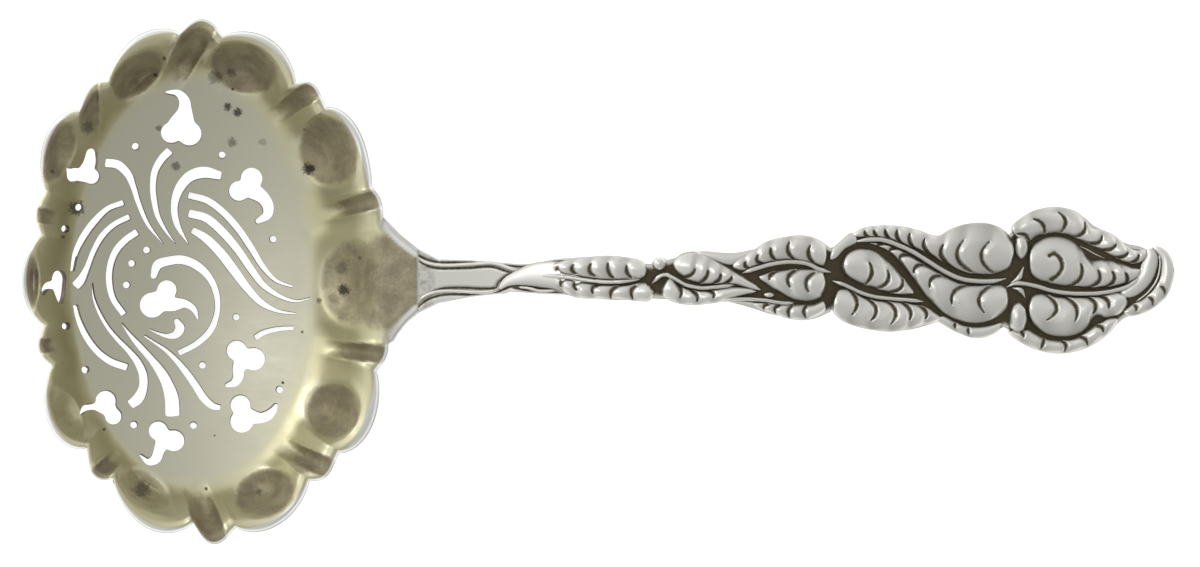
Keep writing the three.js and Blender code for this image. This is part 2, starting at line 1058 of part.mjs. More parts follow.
// The outline of a saw cut of changing width, with a rounded end at each side.
function strokeOutline(rows) {
  const places = rows.map(([along, across, width]) => {
    const { x, y } = onBowl(along, across);
    return new THREE.Vector3(x, y, (width * sawCut) / 2);
  });
  const curve = new THREE.CatmullRomCurve3(places);
  const steps = rows.length - 1;
  const left = [];
  const right = [];
  for (let step = 0; step <= steps; step += 1) {
    const point = curve.getPoint(step / steps);
    const heading = curve.getTangent(step / steps).setZ(0).normalize();
    left.push(new THREE.Vector2(point.x - heading.y * point.z, point.y + heading.x * point.z));
    right.unshift(new THREE.Vector2(point.x + heading.y * point.z, point.y - heading.x * point.z));
    if (step === 0 || step === steps) {
      const side = step === 0 ? -noseShare : noseShare;
      const nose = heading.multiplyScalar((point.z + point.z) * side);
      const end = new THREE.Vector2(point.x + nose.x, point.y + nose.y);
      if (step === 0) {
        left.unshift(end);
      } else {
        left.push(end);
      }
    }
  }
  return [...left, ...right];
}

function roundOutline(along, across, radius, sides) {
  const centre = onBowl(along, across);
  const curve = new THREE.EllipseCurve(centre.x, centre.y, radius, radius);
  return curve.getPoints(sides).slice(0, sides);
}

// Every cutter that pierces the floor, as upright prisms.
function piercings() {
  const outlines = Object.values(slotShares).map(strokeOutline);
  for (const { lobes, stems } of Object.values(cloverShares)) {
    lobes.forEach(([along, across, size]) => {
      outlines.push(roundOutline(along, across, size * leafHoleRadius, leafHoleSides));
    });
    stems.forEach((stem) => outlines.push(strokeOutline(stem)));
  }
  dotShares.forEach(([along, across]) => outlines.push(roundOutline(along, across, dotRadius, dotSides)));
  return outlines.map((outline) => uprightPrism(outline, -overrun, wholeOverrun + rimHeight));
}

function buildBowl() {
  const bench = new THREE.BoxGeometry(bowlWidth + overrun, bowlWidth + overrun, overrun);
  bench.translate(0, 0, -overrun / 2);
  const seatLength = tongueEnd - tongueStart + overrun;
  const seat = new THREE.BoxGeometry(seatLength, bowlWidth, tongueUnder);
  seat.translate(fanStart - seatClearance + seatLength / 2, 0, tongueUnder / 2);
  let bowl = bowlShell().add(bowlTongue());
  bowl = bowl.subtract(solidFrom(bench)).subtract(solidFrom(seat));
  return piercings().reduce((solid, cutter) => solid.subtract(cutter), bowl);
}

// The height of the handle's sunk ground along its arch.
function groundHeight(x) {
  const share = Math.max((x - stepX) / handleLength, 0);
  if (share < archShare) {
    return blend(tongueTop, archHeight, Math.sin((Math.PI / 2) * (share / archShare)));
  }
  const fall = Math.min((share - archShare) / (1 - archShare), 1);
  return blend(archHeight, tipTop, (1 - Math.cos(Math.PI * fall)) / 2);
}

// A plan point from shares of the handle's length and half width.
function onHandle(alongShare, acrossShare) {
  return new THREE.Vector2(stepX + alongShare * handleLength, acrossShare * handleHalfWidth);
}

function handleStations(count) {
  return Array.from({ length: count + 1 }, (_, step) => stepX + (step / count) * handleLength);
}

// A side outline of the handle: its arched ground raised by a height, with all below left uncut.
function sideOutline(rise) {
  const top = handleStations(archSteps).map((x) => new THREE.Vector2(x, groundHeight(x) + rise));
  return [
    new THREE.Vector2(fanStart, -overrun),
    new THREE.Vector2(fanStart, rebateTop),
    new THREE.Vector2(stepX, rebateTop),
    ...top,
    new THREE.Vector2(stepX + handleLength, -overrun),
  ];
}

// What lies below the handle's smooth back, in side view, from past the tip to short of the fan.
function underOutline() {
  const stations = handleStations(archSteps).slice(backSkippedSteps + 1).reverse();
  const back = stations.map((x) => new THREE.Vector2(x, Math.max(groundHeight(x) - handleDepth, 0)));
  return [
    new THREE.Vector2(stepX + handleLength + overrun, -wholeOverrun),
    new THREE.Vector2(stepX + handleLength + overrun, 0),
    ...back,
    new THREE.Vector2(stepX, rebateTop - fanDepth),
    new THREE.Vector2(fanStart - overrun, rebateTop - fanDepth),
    new THREE.Vector2(fanStart - overrun, -wholeOverrun),
  ];
}

function planOutline() {
  const inset = groundInset / handleHalfWidth;
  const upper = upperEdgeShares.map(([along, across]) => onHandle(along, across - inset));
  const lower = lowerEdgeShares.map(([along, across]) => onHandle(along, across + inset));
  const middle = (fanStart + stepX) / 2;
  const fan = [
    new THREE.Vector2(fanStart, tongueRootHalfWidth + fanRootMargin),
    new THREE.Vector2(middle, tongueWaistHalfWidth + fanMiddleMargin),
    new THREE.Vector2(stepX, tongueHalfWidth + fanEndMargin),
  ];
  const fanBelow = fan.map((point) => new THREE.Vector2(point.x, -point.y)).reverse();
  return [...fan, ...upper.slice(1), ...lower.slice(1).reverse(), ...fanBelow];
}

// A half leaf: a puffed, scaled top between two edge lines, over sides that drop straight down.
function halfLeaf({ scales, midrib, outer }) {
  const toPlace = ([along, across]) => onHandle(along, across);
  const midribCurve = new THREE.SplineCurve(midrib.map(toPlace));
  const outerCurve = new THREE.SplineCurve(outer.map(toPlace));
  const rows = scales * scaleSteps;
  const top = [];
  const bottom = [];
  for (let row = 0; row <= rows; row += 1) {
    const share = row / rows;
    const from = midribCurve.getPoint(share);
    const to = outerCurve.getPoint(share);
    const along = blend(leafEndShare, 1 - leafEndShare, share);
    const fullness = Math.pow(Math.sin(Math.PI * along), leafFullnessShare);
    const between = row % scaleSteps === 0 ? valleyShare : 1;
    top.push([]);
    bottom.push([]);
    for (let rank = 0; rank <= leafRanks; rank += 1) {
      const place = from.clone().lerp(to, rank / leafRanks);
      const arch = Math.pow(Math.sin((Math.PI * rank) / leafRanks), leafFlankShare);
      const ground = groundHeight(place.x);
      const height = ground + edgeRise + leafRise * arch * fullness * between;
      top[row].push(new THREE.Vector3(place.x, place.y, height));
      bottom[row].push(new THREE.Vector3(place.x, place.y, -overrun));
    }
  }
  return closedPatch(top, bottom);
}

// Closes a patch of rows over a like patch below it, whichever way round its rows run.
function closedPatch(top, bottom) {
  const rows = top.length;
  const ranks = top[0].length;
  const points = [...top.flat(), ...bottom.flat()];
  const below = rows * ranks;
  const faces = [];
  const quad = (a, b, c, d) => faces.push(a, b, c, a, c, d);
  for (let row = 0; row + 1 < rows; row += 1) {
    for (let rank = 0; rank + 1 < ranks; rank += 1) {
      const at = row * ranks + rank;
      quad(at, at + ranks, at + ranks + 1, at + 1);
      quad(below + at + 1, below + at + ranks + 1, below + at + ranks, below + at);
    }
    const near = row * ranks;
    const far = near + ranks - 1;
    quad(near, below + near, below + near + ranks, near + ranks);
    quad(far, far + ranks, below + far + ranks, below + far);
  }
  for (let rank = 0; rank + 1 < ranks; rank += 1) {
    const end = (rows - 1) * ranks + rank;
    quad(rank, rank + 1, below + rank + 1, below + rank);
    quad(end, below + end, below + end + 1, end + 1);
  }
  const cross = crossOf(top);
  if (cross < 0) {
    faces.reverse();
  }
  return solidFrom(indexedGeometry(points, faces));
}

// Positive where a patch's rows and ranks turn the way that faces its top up.
function crossOf(top) {
  const middle = Math.floor(top.length / 2);
  const start = top[middle][0];
  const along = top[middle + 1][0].clone().sub(start);
  const across = top[middle][top[0].length - 1].clone().sub(start);
  return along.x * across.y - along.y * across.x;
}

function bud({ at, half }) {
  const place = onHandle(...at);
  const geometry = new THREE.SphereGeometry(1, budSides, budRings);
  geometry.rotateX(Math.PI / 2);
  geometry.scale(half[0] * handleHalfWidth, half[1] * handleHalfWidth, leafRise);
  geometry.translate(place.x, place.y, groundHeight(place.x));
  return solidFrom(geometry);
}

function buildHandle() {
  const upright = uprightPrism(planOutline(), -overrun, wholeOverrun + archHeight);
  const ground = upright.intersect(crosswisePrism(sideOutline(0), handleWidth));
  const bandSide = crosswisePrism(sideOutline(bandRise), handleWidth);
  const bands = bandShares.map((outline) => {
    const plan = outline.map(([along, across]) => onHandle(along, across));
    return uprightPrism(plan, -overrun, wholeOverrun + archHeight).intersect(bandSide);
  });
  const leaves = Object.values(leafShares).map(halfLeaf);
  const buds = budShares.map(bud);
  const raised = [...bands, ...leaves, ...buds].reduce((solid, piece) => solid.add(piece), ground);
  return raised.subtract(crosswisePrism(underOutline(), handleWidth));
}

// The film of hard solder, an L in side view: flat under the tongue and upright behind its end.
function buildSolder() {
  const outline = [
    new THREE.Vector2(fanStart + solderInset, rebateTop),
    new THREE.Vector2(stepX, rebateTop),
    new THREE.Vector2(stepX, tongueTop),
    new THREE.Vector2(tongueEnd, tongueTop),
    new THREE.Vector2(tongueEnd, tongueUnder),
    new THREE.Vector2(fanStart + solderInset, tongueUnder),
  ];
  return crosswisePrism(outline, tongueHalfWidth - solderInset);
}

const gilt = new THREE.MeshStandardMaterial({ color: 0xb7b089, roughness: 0.34, metalness: 1 });
const silver = new THREE.MeshStandardMaterial({ color: 0xc9cac6, roughness: 0.26, metalness: 1 });
const solder = new THREE.MeshStandardMaterial({ color: 0x8d8b82, roughness: 0.5, metalness: 1 });

function pieceOf(name, solid, material) {
  const mesh = new THREE.Mesh(geometryFrom(solid), material);
  mesh.name = name;
  return mesh;
}

const spoon = new THREE.Group();
spoon.add(pieceOf("bowl", buildBowl(), gilt));
spoon.add(pieceOf("handle", buildHandle(), silver));
spoon.add(pieceOf("solder_seam", buildSolder(), solder));

export default spoon;
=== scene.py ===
"""Looks of an antique silver sugar sifter spoon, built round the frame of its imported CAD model.

Sizes are in millimetres and are turned into metres when a mesh is made. Points written in pixels are
places in the photograph's frame of 1200 by 567, seen straight from above.
"""

import logging
import math
from dataclasses import dataclass, field
from enum import Enum
from typing import ClassVar, Iterable, Optional, Sequence

import bpy
import numpy as np
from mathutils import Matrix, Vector
from mathutils.geometry import delaunay_2d_cdt


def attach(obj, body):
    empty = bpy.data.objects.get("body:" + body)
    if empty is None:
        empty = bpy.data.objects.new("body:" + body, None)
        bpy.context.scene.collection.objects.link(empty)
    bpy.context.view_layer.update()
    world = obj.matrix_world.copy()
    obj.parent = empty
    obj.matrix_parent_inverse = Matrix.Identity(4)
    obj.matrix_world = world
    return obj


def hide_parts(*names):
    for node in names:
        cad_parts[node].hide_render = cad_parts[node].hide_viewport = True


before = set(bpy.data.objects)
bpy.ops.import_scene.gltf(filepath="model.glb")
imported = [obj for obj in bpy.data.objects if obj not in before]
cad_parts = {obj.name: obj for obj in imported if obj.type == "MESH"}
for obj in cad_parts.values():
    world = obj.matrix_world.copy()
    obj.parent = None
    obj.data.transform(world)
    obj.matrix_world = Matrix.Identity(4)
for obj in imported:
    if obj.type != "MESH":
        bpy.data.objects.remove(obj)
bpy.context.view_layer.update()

log = logging.getLogger("sifter_spoon")
Array = np.ndarray
Pixel = tuple[float, float]
Crossing = tuple[int, int, int]
METRES = 0.001


# Maths


def smooth_step(value: Array) -> Array:
    """Eases a value from 0 to 1.

    Args:
        value: numbers, of which 0 to 1 is the easing range.

    Returns:
        The eased numbers, from 0 to 1.
    """
    part = np.clip(value, 0.0, 1.0)
    return part * part * (3.0 - 2.0 * part)


@dataclass(frozen=True)
class Fade:
    """An eased change of a value: the place that it is measured from and its width."""

    at: float
    width: float

    def up(self, value: Array) -> Array:
        """Rises from 0 at the place to 1 a width above it."""
        return smooth_step((value - self.at) / self.width)

    def down(self, value: Array) -> Array:
        """Rises from 0 at the place to 1 a width below it."""
        return smooth_step((self.at - value) / self.width)


def bell(gap: Array, half: float) -> Array:
    """Gives the height of a smooth hump, 1 at its top, at distances from it."""
    return np.exp(-((gap / half) ** 2))


def unit_rows(rows: Array) -> Array:
    """Gives each row of a vector's parts the length 1."""
    return rows / np.maximum(np.linalg.norm(rows, axis=1, keepdims=True), 1e-9)


def even_turns(count: int) -> Array:
    """Spaces turns evenly round a circle, in radians."""
    return np.arange(count) * 2 * np.pi / count


def eased_line(knots: Array, values: Array, at: Array) -> Array:
    """Reads a smooth line through values at knots.

    Args:
        knots: rising places of the values.
        values: one row for each knot.
        at: places to read the line at.

    Returns:
        One row for each place.
    """
    slopes = np.gradient(values, knots, axis=0)
    cell = np.clip(np.searchsorted(knots, at, side="right") - 1, 0, len(knots) - 2)
    width = knots[cell + 1] - knots[cell]
    part = (at - knots[cell]) / width
    if values.ndim > 1:
        part, width = part[:, None], width[:, None]
    rise = part * part * (3.0 - 2.0 * part)
    leave = part * (1.0 - part) ** 2 * width * slopes[cell]
    arrive = part * part * (part - 1.0) * width * slopes[cell + 1]
    return values[cell] * (1.0 - rise) + values[cell + 1] * rise + leave + arrive


def flowing_line(points: Array, count: int) -> Array:
    """Spaces points evenly along a smooth line.

    Args:
        points: the points that the line runs through.
        count: how many points to return.

    Returns:
        The evenly spaced points, ends included.
    """
    steps = np.linalg.norm(np.diff(points, axis=0), axis=1)
    knots = np.concatenate([[0.0], np.cumsum(np.maximum(steps, 1e-6) ** 0.5)])
    fine = eased_line(knots, points, np.linspace(0.0, knots[-1], 12 * count))
    travelled = np.concatenate([[0.0], np.cumsum(np.linalg.norm(np.diff(fine, axis=0), axis=1))])
    even = np.linspace(0.0, travelled[-1], count)
    columns = [np.interp(even, travelled, fine[:, axis]) for axis in range(fine.shape[1])]
    return np.stack(columns, axis=1)


def round_arc(points: Array, count: int) -> Array:
    """Spaces points along a parabola through three points.

    Args:
        points: the start, a point on the way and the end.
        count: how many points to return.

    Returns:
        The points, ends included.
    """
    first, last = np.linalg.norm(points[1] - points[0]), np.linalg.norm(points[2] - points[1])
    knee = first / (first + last)
    part = np.linspace(0.0, 1.0, count)[:, None]
    start = (part - knee) * (part - 1.0) / knee
    middle = part * (part - 1.0) / (knee * (knee - 1.0))
    end = part * (part - knee) / (1.0 - knee)
    return points[0] * start + points[1] * middle + points[2] * end


def line_length(points: Array) -> float:
    """Measures a line of points along its way."""
    return float(np.linalg.norm(np.diff(points, axis=0), axis=1).sum())


def inside_outline(outline: Array, points: Array) -> Array:
    """Tells which points lie inside a closed plan outline.

    Args:
        outline: corners of the outline, in order.
        points: plan points to test.

    Returns:
        True for each point inside.
    """
    low, high = outline.min(0), outline.max(0)
    near = np.flatnonzero(((points >= low) & (points <= high)).all(1))
    result = np.zeros(len(points), bool)
    if len(near) == 0:
        return result
    x, y = points[near, 0][:, None], points[near, 1][:, None]
    ax, ay = outline[:, 0], outline[:, 1]
    bx, by = np.roll(ax, -1), np.roll(ay, -1)
    spans = (ay > y) != (by > y)
    rise = np.where(by == ay, 1.0, by - ay)
    crossing = x < (bx - ax) * (y - ay) / rise + ax
    result[near] = (spans & crossing).sum(1) % 2 == 1
    return result


def distance_to_line(line: Array, points: Array) -> Array:
    """Measures how far points lie from a line of straight steps.

    Args:
        line: the line's points.
        points: plan points to measure from.

    Returns:
        The least distance of each point.
    """
    start, step = line[:-1], np.diff(line, axis=0)
    square = np.maximum((step**2).sum(1), 1e-12)
    away = points[:, None, :] - start[None, :, :]
    share = np.clip((away * step).sum(2) / square, 0.0, 1.0)
    return np.sqrt(((away - share[..., None] * step) ** 2).sum(2).min(1))


# Meshes


@dataclass(frozen=True)
class PhotoFrame:
    """The photograph's frame laid on the spoon: pixel size in millimetres and the origin's pixel."""

    pixel: float = 0.127
    origin_x: float = 225.0
    origin_y: float = 281.0
    wide: int = 1200
    high: int = 567

    def place(self, pixels: Sequence[Pixel]) -> Array:
        """Turns pixels into plan places.

        Args:
            pixels: points of the photograph's frame.

        Returns:
            One row of x and y for each point.
        """
        spots = np.asarray(pixels, float)
        return np.stack([spots[:, 0] - self.origin_x, self.origin_y - spots[:, 1]], 1) * self.pixel

    def centre(self) -> tuple[float, float]:
        """Gives the plan place at the middle of the frame."""
        x, y = self.place([(self.wide / 2, self.high / 2)])[0]
        return float(x), float(y)


PHOTO = PhotoFrame()


@dataclass
class Draft:
    """A mesh being drawn up: its points, faces and the marks that its finish reads."""

    marks: tuple[str, ...]
    points: list[Array] = field(default_factory=list)
    faces: list[Array] = field(default_factory=list)
    values: dict[str, list[Array]] = field(default_factory=dict)
    count: int = 0

    def add(self, points: Array, faces: Iterable[Array], **values: Array) -> int:
        """Adds points and faces.

        Args:
            points: rows of x, y and z in millimetres.
            faces: arrays of corner numbers, counted from the first of these points.
            **values: a number for each point and mark; a missing mark is 0.

        Returns:
            The number of the first added point.
        """
        start = self.count
        self.points.append(points)
        for group in faces:
            if len(group):
                self.faces.append(np.asarray(group, np.int64) + start)
        for mark in self.marks:
            given = values.get(mark, 0.0)
            row = np.broadcast_to(np.asarray(given, float), (len(points),))
            self.values.setdefault(mark, []).append(row)
        self.count += len(points)
        return start

    def make(self, name: str, sharp: float = 42.0) -> bpy.types.Object:
        """Makes the object.

        Args:
            name: the piece's name.
            sharp: angle in degrees above which an edge is drawn sharp.

        Returns:
            The new object, at the origin.
        """
        mesh = bpy.data.meshes.new(name)
        corners = [group.reshape(-1) for group in self.faces]
        totals = [np.full(len(group), group.shape[1]) for group in self.faces]
        total = np.concatenate(totals)
        loops = np.concatenate(corners)
        places = np.concatenate(self.points) * METRES
        mesh.vertices.add(len(places))
        mesh.vertices.foreach_set("co", places.astype(np.float32).ravel())
        mesh.loops.add(len(loops))
        mesh.loops.foreach_set("vertex_index", loops.astype(np.int32))
        mesh.polygons.add(len(total))
        starts = np.concatenate([[0], np.cumsum(total)[:-1]])
        mesh.polygons.foreach_set("loop_start", starts.astype(np.int32))
        mesh.update(calc_edges=True)
        mesh.validate()
        for mark in self.marks:
            attribute = mesh.attributes.new(mark, "FLOAT", "POINT")
            row = np.concatenate(self.values[mark]).astype(np.float32)
            attribute.data.foreach_set("value", row)
        mesh.polygons.foreach_set("use_smooth", np.ones(len(mesh.polygons), bool))
        mesh.set_sharp_from_angle(angle=math.radians(sharp))
        piece = bpy.data.objects.new(name, mesh)
        bpy.context.scene.collection.objects.link(piece)
        return piece


def grid_faces(rows: int, columns: int, closed: bool = False) -> Array:
    """Lists the quads of a grid of points.

    Args:
        rows: how many rows of points.
        columns: how many points in each row.
        closed: whether each row joins its end to its start.

    Returns:
        Four corner numbers for each quad.
    """
    last = columns if closed else columns - 1
    row, column = np.meshgrid(np.arange(rows - 1), np.arange(last), indexing="ij")
    row, column = row.ravel(), column.ravel()
    after = (column + 1) % columns
    here, there = row * columns, (row + 1) * columns
    return np.stack([here + column, here + after, there + after, there + column], 1)


def end_caps(rows: int, columns: int) -> list[Array]:
    """Lists the faces that close the two ends of a tube of rings."""
    ring = np.arange(columns)
    return [ring[None, :], ((rows - 1) * columns + ring)[None, ::-1]]


def tube_faces(rows: int, columns: int) -> list[Array]:
    """Lists the faces of a closed tube of rings, in groups of one size."""
    return [grid_faces(rows, columns, True)[:, ::-1], *end_caps(rows, columns)]


# The finish


class NodeDesk:
    """Adds nodes to a node tree and joins them."""

    def __init__(self, tree: bpy.types.NodeTree) -> None:
        """Takes the tree to work on."""
        self.tree = tree

    def fill(self, node: bpy.types.Node, inputs: dict) -> None:
        """Sets a node's sockets.

        Args:
            node: the node.
            inputs: for each socket's name or number, a value or a socket to link from.
        """
        for key, value in inputs.items():
            if isinstance(value, bpy.types.NodeSocket):
                self.tree.links.new(value, node.inputs[key])
            else:
                node.inputs[key].default_value = value

    def node(self, kind: str, inputs: Optional[dict] = None, **settings: object) -> bpy.types.Node:
        """Adds a node.

        Args:
            kind: Blender's name of the node's type.
            inputs: for each socket's name or number, a value or a socket to link from.
            **settings: properties of the node.

        Returns:
            The new node.
        """
        made = self.tree.nodes.new(kind)
        for key, value in settings.items():
            setattr(made, key, value)
        self.fill(made, inputs or {})
        return made

    def math(self, operation: str, *values: object, clamp: bool = False) -> bpy.types.NodeSocket:
        """Adds a sum and returns its result.

        Args:
            operation: the sum, such as MULTIPLY.
            *values: numbers or sockets.
            clamp: whether the result stays from 0 to 1.

        Returns:
            The result's socket.
        """
        inputs = dict(enumerate(values))
        return self.node("ShaderNodeMath", inputs, operation=operation, use_clamp=clamp).outputs[0]

    def times(self, first: object, second: object) -> bpy.types.NodeSocket:
        """Multiplies two numbers or sockets."""
        return self.math("MULTIPLY", first, second)

    def ramp(
        self, value: object, low: object, high: object, start: float = 0.0, end: float = 1.0
    ) -> bpy.types.NodeSocket:
        """Maps a range of a value to another, with eased ends.

        Args:
            value: the socket to map.
            low: the value that gives start.
            high: the value that gives end.
            start: result at low.
            end: result at high.

        Returns:
            The result's socket.
        """
        inputs = {0: value, 1: low, 2: high, 3: start, 4: end}
        return self.node("ShaderNodeMapRange", inputs, interpolation_type="SMOOTHSTEP").outputs[0]

    def blend(self, share: object, first: object, second: object) -> bpy.types.NodeSocket:
        """Mixes two colours.

        Args:
            share: share of the second colour.
            first: a colour or a colour socket.
            second: a colour or a colour socket.

        Returns:
            The mixed colour's socket.
        """
        inputs = {0: share}
        for key, value in ((6, first), (7, second)):
            inputs[key] = value if isinstance(value, bpy.types.NodeSocket) else (*value, 1.0)
        return self.node("ShaderNodeMix", inputs, data_type="RGBA").outputs[2]

    def noise(self, place: object, scale: object, detail: float = 3.0) -> bpy.types.NodeSocket:
        """Adds cloudy noise.

        Args:
            place: the socket of the place to read it at.
            scale: how many waves to a metre.
            detail: how many finer layers.

        Returns:
            The noise, about 0.5.
        """
        inputs = {"Vector": place, "Scale": scale, "Detail": detail, "Roughness": 0.55}
        return self.node("ShaderNodeTexNoise", inputs).outputs["Fac"]

    def mark(self, name: str) -> bpy.types.NodeSocket:
        """Reads a mark that the mesh carries."""
        return self.node("ShaderNodeAttribute", attribute_name=name).outputs["Fac"]

    def place(self) -> bpy.types.NodeSocket:
        """Gives the place on the piece, in metres."""
        return self.node("ShaderNodeTexCoord").outputs["Object"]


@dataclass(frozen=True)
class GroupPlan:
    """A shader node group that several finishes share: its name and its sockets' names and values."""

    name: str
    inputs: dict[str, float]
    outputs: tuple[str, ...]

    def start(self) -> tuple[NodeDesk, dict[str, bpy.types.NodeSocket], bpy.types.Node]:
        """Makes the empty group.

        Returns:
            A desk for its nodes, its input sockets by name, and its output node.
        """
        tree = bpy.data.node_groups.new(self.name, "ShaderNodeTree")
        for name, value in self.inputs.items():
            socket = tree.interface.new_socket(name, in_out="INPUT", socket_type="NodeSocketFloat")
            socket.default_value = value
        for name in self.outputs:
            tree.interface.new_socket(name, in_out="OUTPUT", socket_type="NodeSocketFloat")
        desk = NodeDesk(tree)
        entry = desk.node("NodeGroupInput")
        sockets = {name: entry.outputs[name] for name in self.inputs}
        return desk, sockets, desk.node("NodeGroupOutput")


class SharedEffects:
    """The effects that more than one finish uses, each a node group built once."""

    mottle: ClassVar[GroupPlan] = GroupPlan(
        "patchy_mark", {"Mask": 0.0, "Scale": 900.0, "Patchiness": 0.5}, ("Mask",)
    )
    polish: ClassVar[GroupPlan] = GroupPlan(
        "hand_polish", {"Scale": 2500.0, "Roughness": 0.3, "Spread": 0.1}, ("Roughness", "Height")
    )
    specks: ClassVar[GroupPlan] = GroupPlan(
        "pin_specks", {"Scale": 1500.0, "Size": 0.12, "Share": 0.5}, ("Mask",)
    )

    def __init__(self) -> None:
        """Builds the groups."""
        self.groups = {
            self.mottle.name: self.build_mottle(),
            self.polish.name: self.build_polish(),
            self.specks.name: self.build_specks(),
        }

    def build_mottle(self) -> bpy.types.NodeTree:
        """Makes a smooth mask patchy: the tarnish and worn gilding, and also the painted highlight on the
        bowl's crests and the painted shade on the handle.

        Returns:
            The group.
        """
        desk, entry, exit_node = self.mottle.start()
        place = desk.place()
        broad = desk.noise(place, entry["Scale"], 4.0)
        fine = desk.noise(place, desk.times(entry["Scale"], 4.7), 3.0)
        cloud = desk.math("ADD", desk.times(broad, 0.68), desk.times(fine, 0.32))
        lift = desk.times(desk.math("SUBTRACT", cloud, 0.5), entry["Patchiness"])
        edge = desk.math("ADD", entry["Mask"], desk.times(lift, 3.0))
        held = desk.times(desk.ramp(edge, 0.05, 0.95), desk.ramp(entry["Mask"], 0.0, 0.3))
        desk.fill(exit_node, {"Mask": held})
        return desk.tree

    def build_polish(self) -> bpy.types.NodeTree:
        """Builds the fine rub marks of hand polishing.

        Returns:
            The group.
        """
        desk, entry, exit_node = self.polish.start()
        place, scale = desk.place(), entry["Scale"]
        drawn = desk.node("ShaderNodeMapping", {"Vector": place, "Scale": (0.16, 1.0, 1.0)})
        rubs = desk.noise(drawn.outputs[0], scale, 2.0)
        turned = desk.node(
            "ShaderNodeMapping", {"Vector": place, "Rotation": (0.0, 0.0, 0.9), "Scale": (0.2, 1.0, 1.0)}
        )
        crossed = desk.noise(turned.outputs[0], desk.times(scale, 0.7), 2.0)
        height = desk.times(desk.math("ADD", rubs, crossed), 0.5)
        cloud = desk.noise(place, desk.times(scale, 0.08), 3.0)
        sway = desk.math("SUBTRACT", desk.math("ADD", cloud, height), 1.0)
        rough = desk.math("ADD", entry["Roughness"], desk.times(sway, entry["Spread"]), clamp=True)
        desk.fill(exit_node, {"Roughness": rough, "Height": height})
        return desk.tree

    def build_specks(self) -> bpy.types.NodeTree:
        """Builds scattered pin-head specks.

        Returns:
            The group.
        """
        desk, entry, exit_node = self.specks.start()
        place = desk.place()
        inputs = {"Vector": place, "Scale": entry["Scale"], "Randomness": 1.0}
        cells = desk.node("ShaderNodeTexVoronoi", inputs)
        size = desk.times(entry["Size"], desk.noise(place, 9000.0, 2.0))
        dot = desk.ramp(cells.outputs["Distance"], size, desk.times(size, 0.4))
        parts = desk.node("ShaderNodeSeparateColor", {0: cells.outputs["Color"]})
        chosen = desk.math("LESS_THAN", parts.outputs[0], entry["Share"])
        desk.fill(exit_node, {"Mask": desk.times(dot, chosen)})
        return desk.tree

    def use(self, desk: NodeDesk, plan: GroupPlan, **inputs: object) -> bpy.types.Node:
        """Places a group in a material.

        Args:
            desk: the material's desk.
            plan: which group.
            **inputs: its values or sockets by socket name.

        Returns:
            The group's node.
        """
        made = desk.node("ShaderNodeGroup", node_tree=self.groups[plan.name])
        desk.fill(made, inputs)
        return made


def cleared_tree(owner: bpy.types.ID) -> bpy.types.NodeTree:
    """Empties the node tree of a material or of the world.

    Args:
        owner: the material or world.

    Returns:
        The empty tree.
    """
    owner.use_nodes = True
    owner.node_tree.nodes.clear()
    return owner.node_tree


class MetalDesk(NodeDesk):
    """Adds nodes to a new metal material."""

    def __init__(self, name: str) -> None:
        """Starts the material.

        Args:
            name: its name.
        """
        self.material = bpy.data.materials.new(name)
        super().__init__(cleared_tree(self.material))
        self.shader = self.node("ShaderNodeBsdfPrincipled", {"Metallic": 1.0})
        self.node("ShaderNodeOutputMaterial", {0: self.shader.outputs[0]})

    def finish(
        self,
        base: bpy.types.NodeSocket,
        rough: bpy.types.NodeSocket,
        height: bpy.types.NodeSocket,
        relief: float,
        deep: float = 0.00004,
    ) -> bpy.types.Material:
        """Joins the finish to the material's shader.

        Args:
            base: the colour.
            rough: the roughness.
            height: the height of its rub marks.
            relief: how strongly they show.
            deep: how deep they are, in metres.

        Returns:
            The material.
        """
        bump = self.node("ShaderNodeBump", {"Strength": relief, "Distance": deep, "Height": height})
        self.fill(self.shader, {"Base Color": base, "Roughness": rough, "Normal": bump.outputs[0]})
        return self.material


@dataclass(frozen=True)
class Spot:
    """A tarnish spot of the bowl: its pixel, its radius in millimetres and its darkness."""

    at: Pixel
    radius: float
    dark: float = 0.8


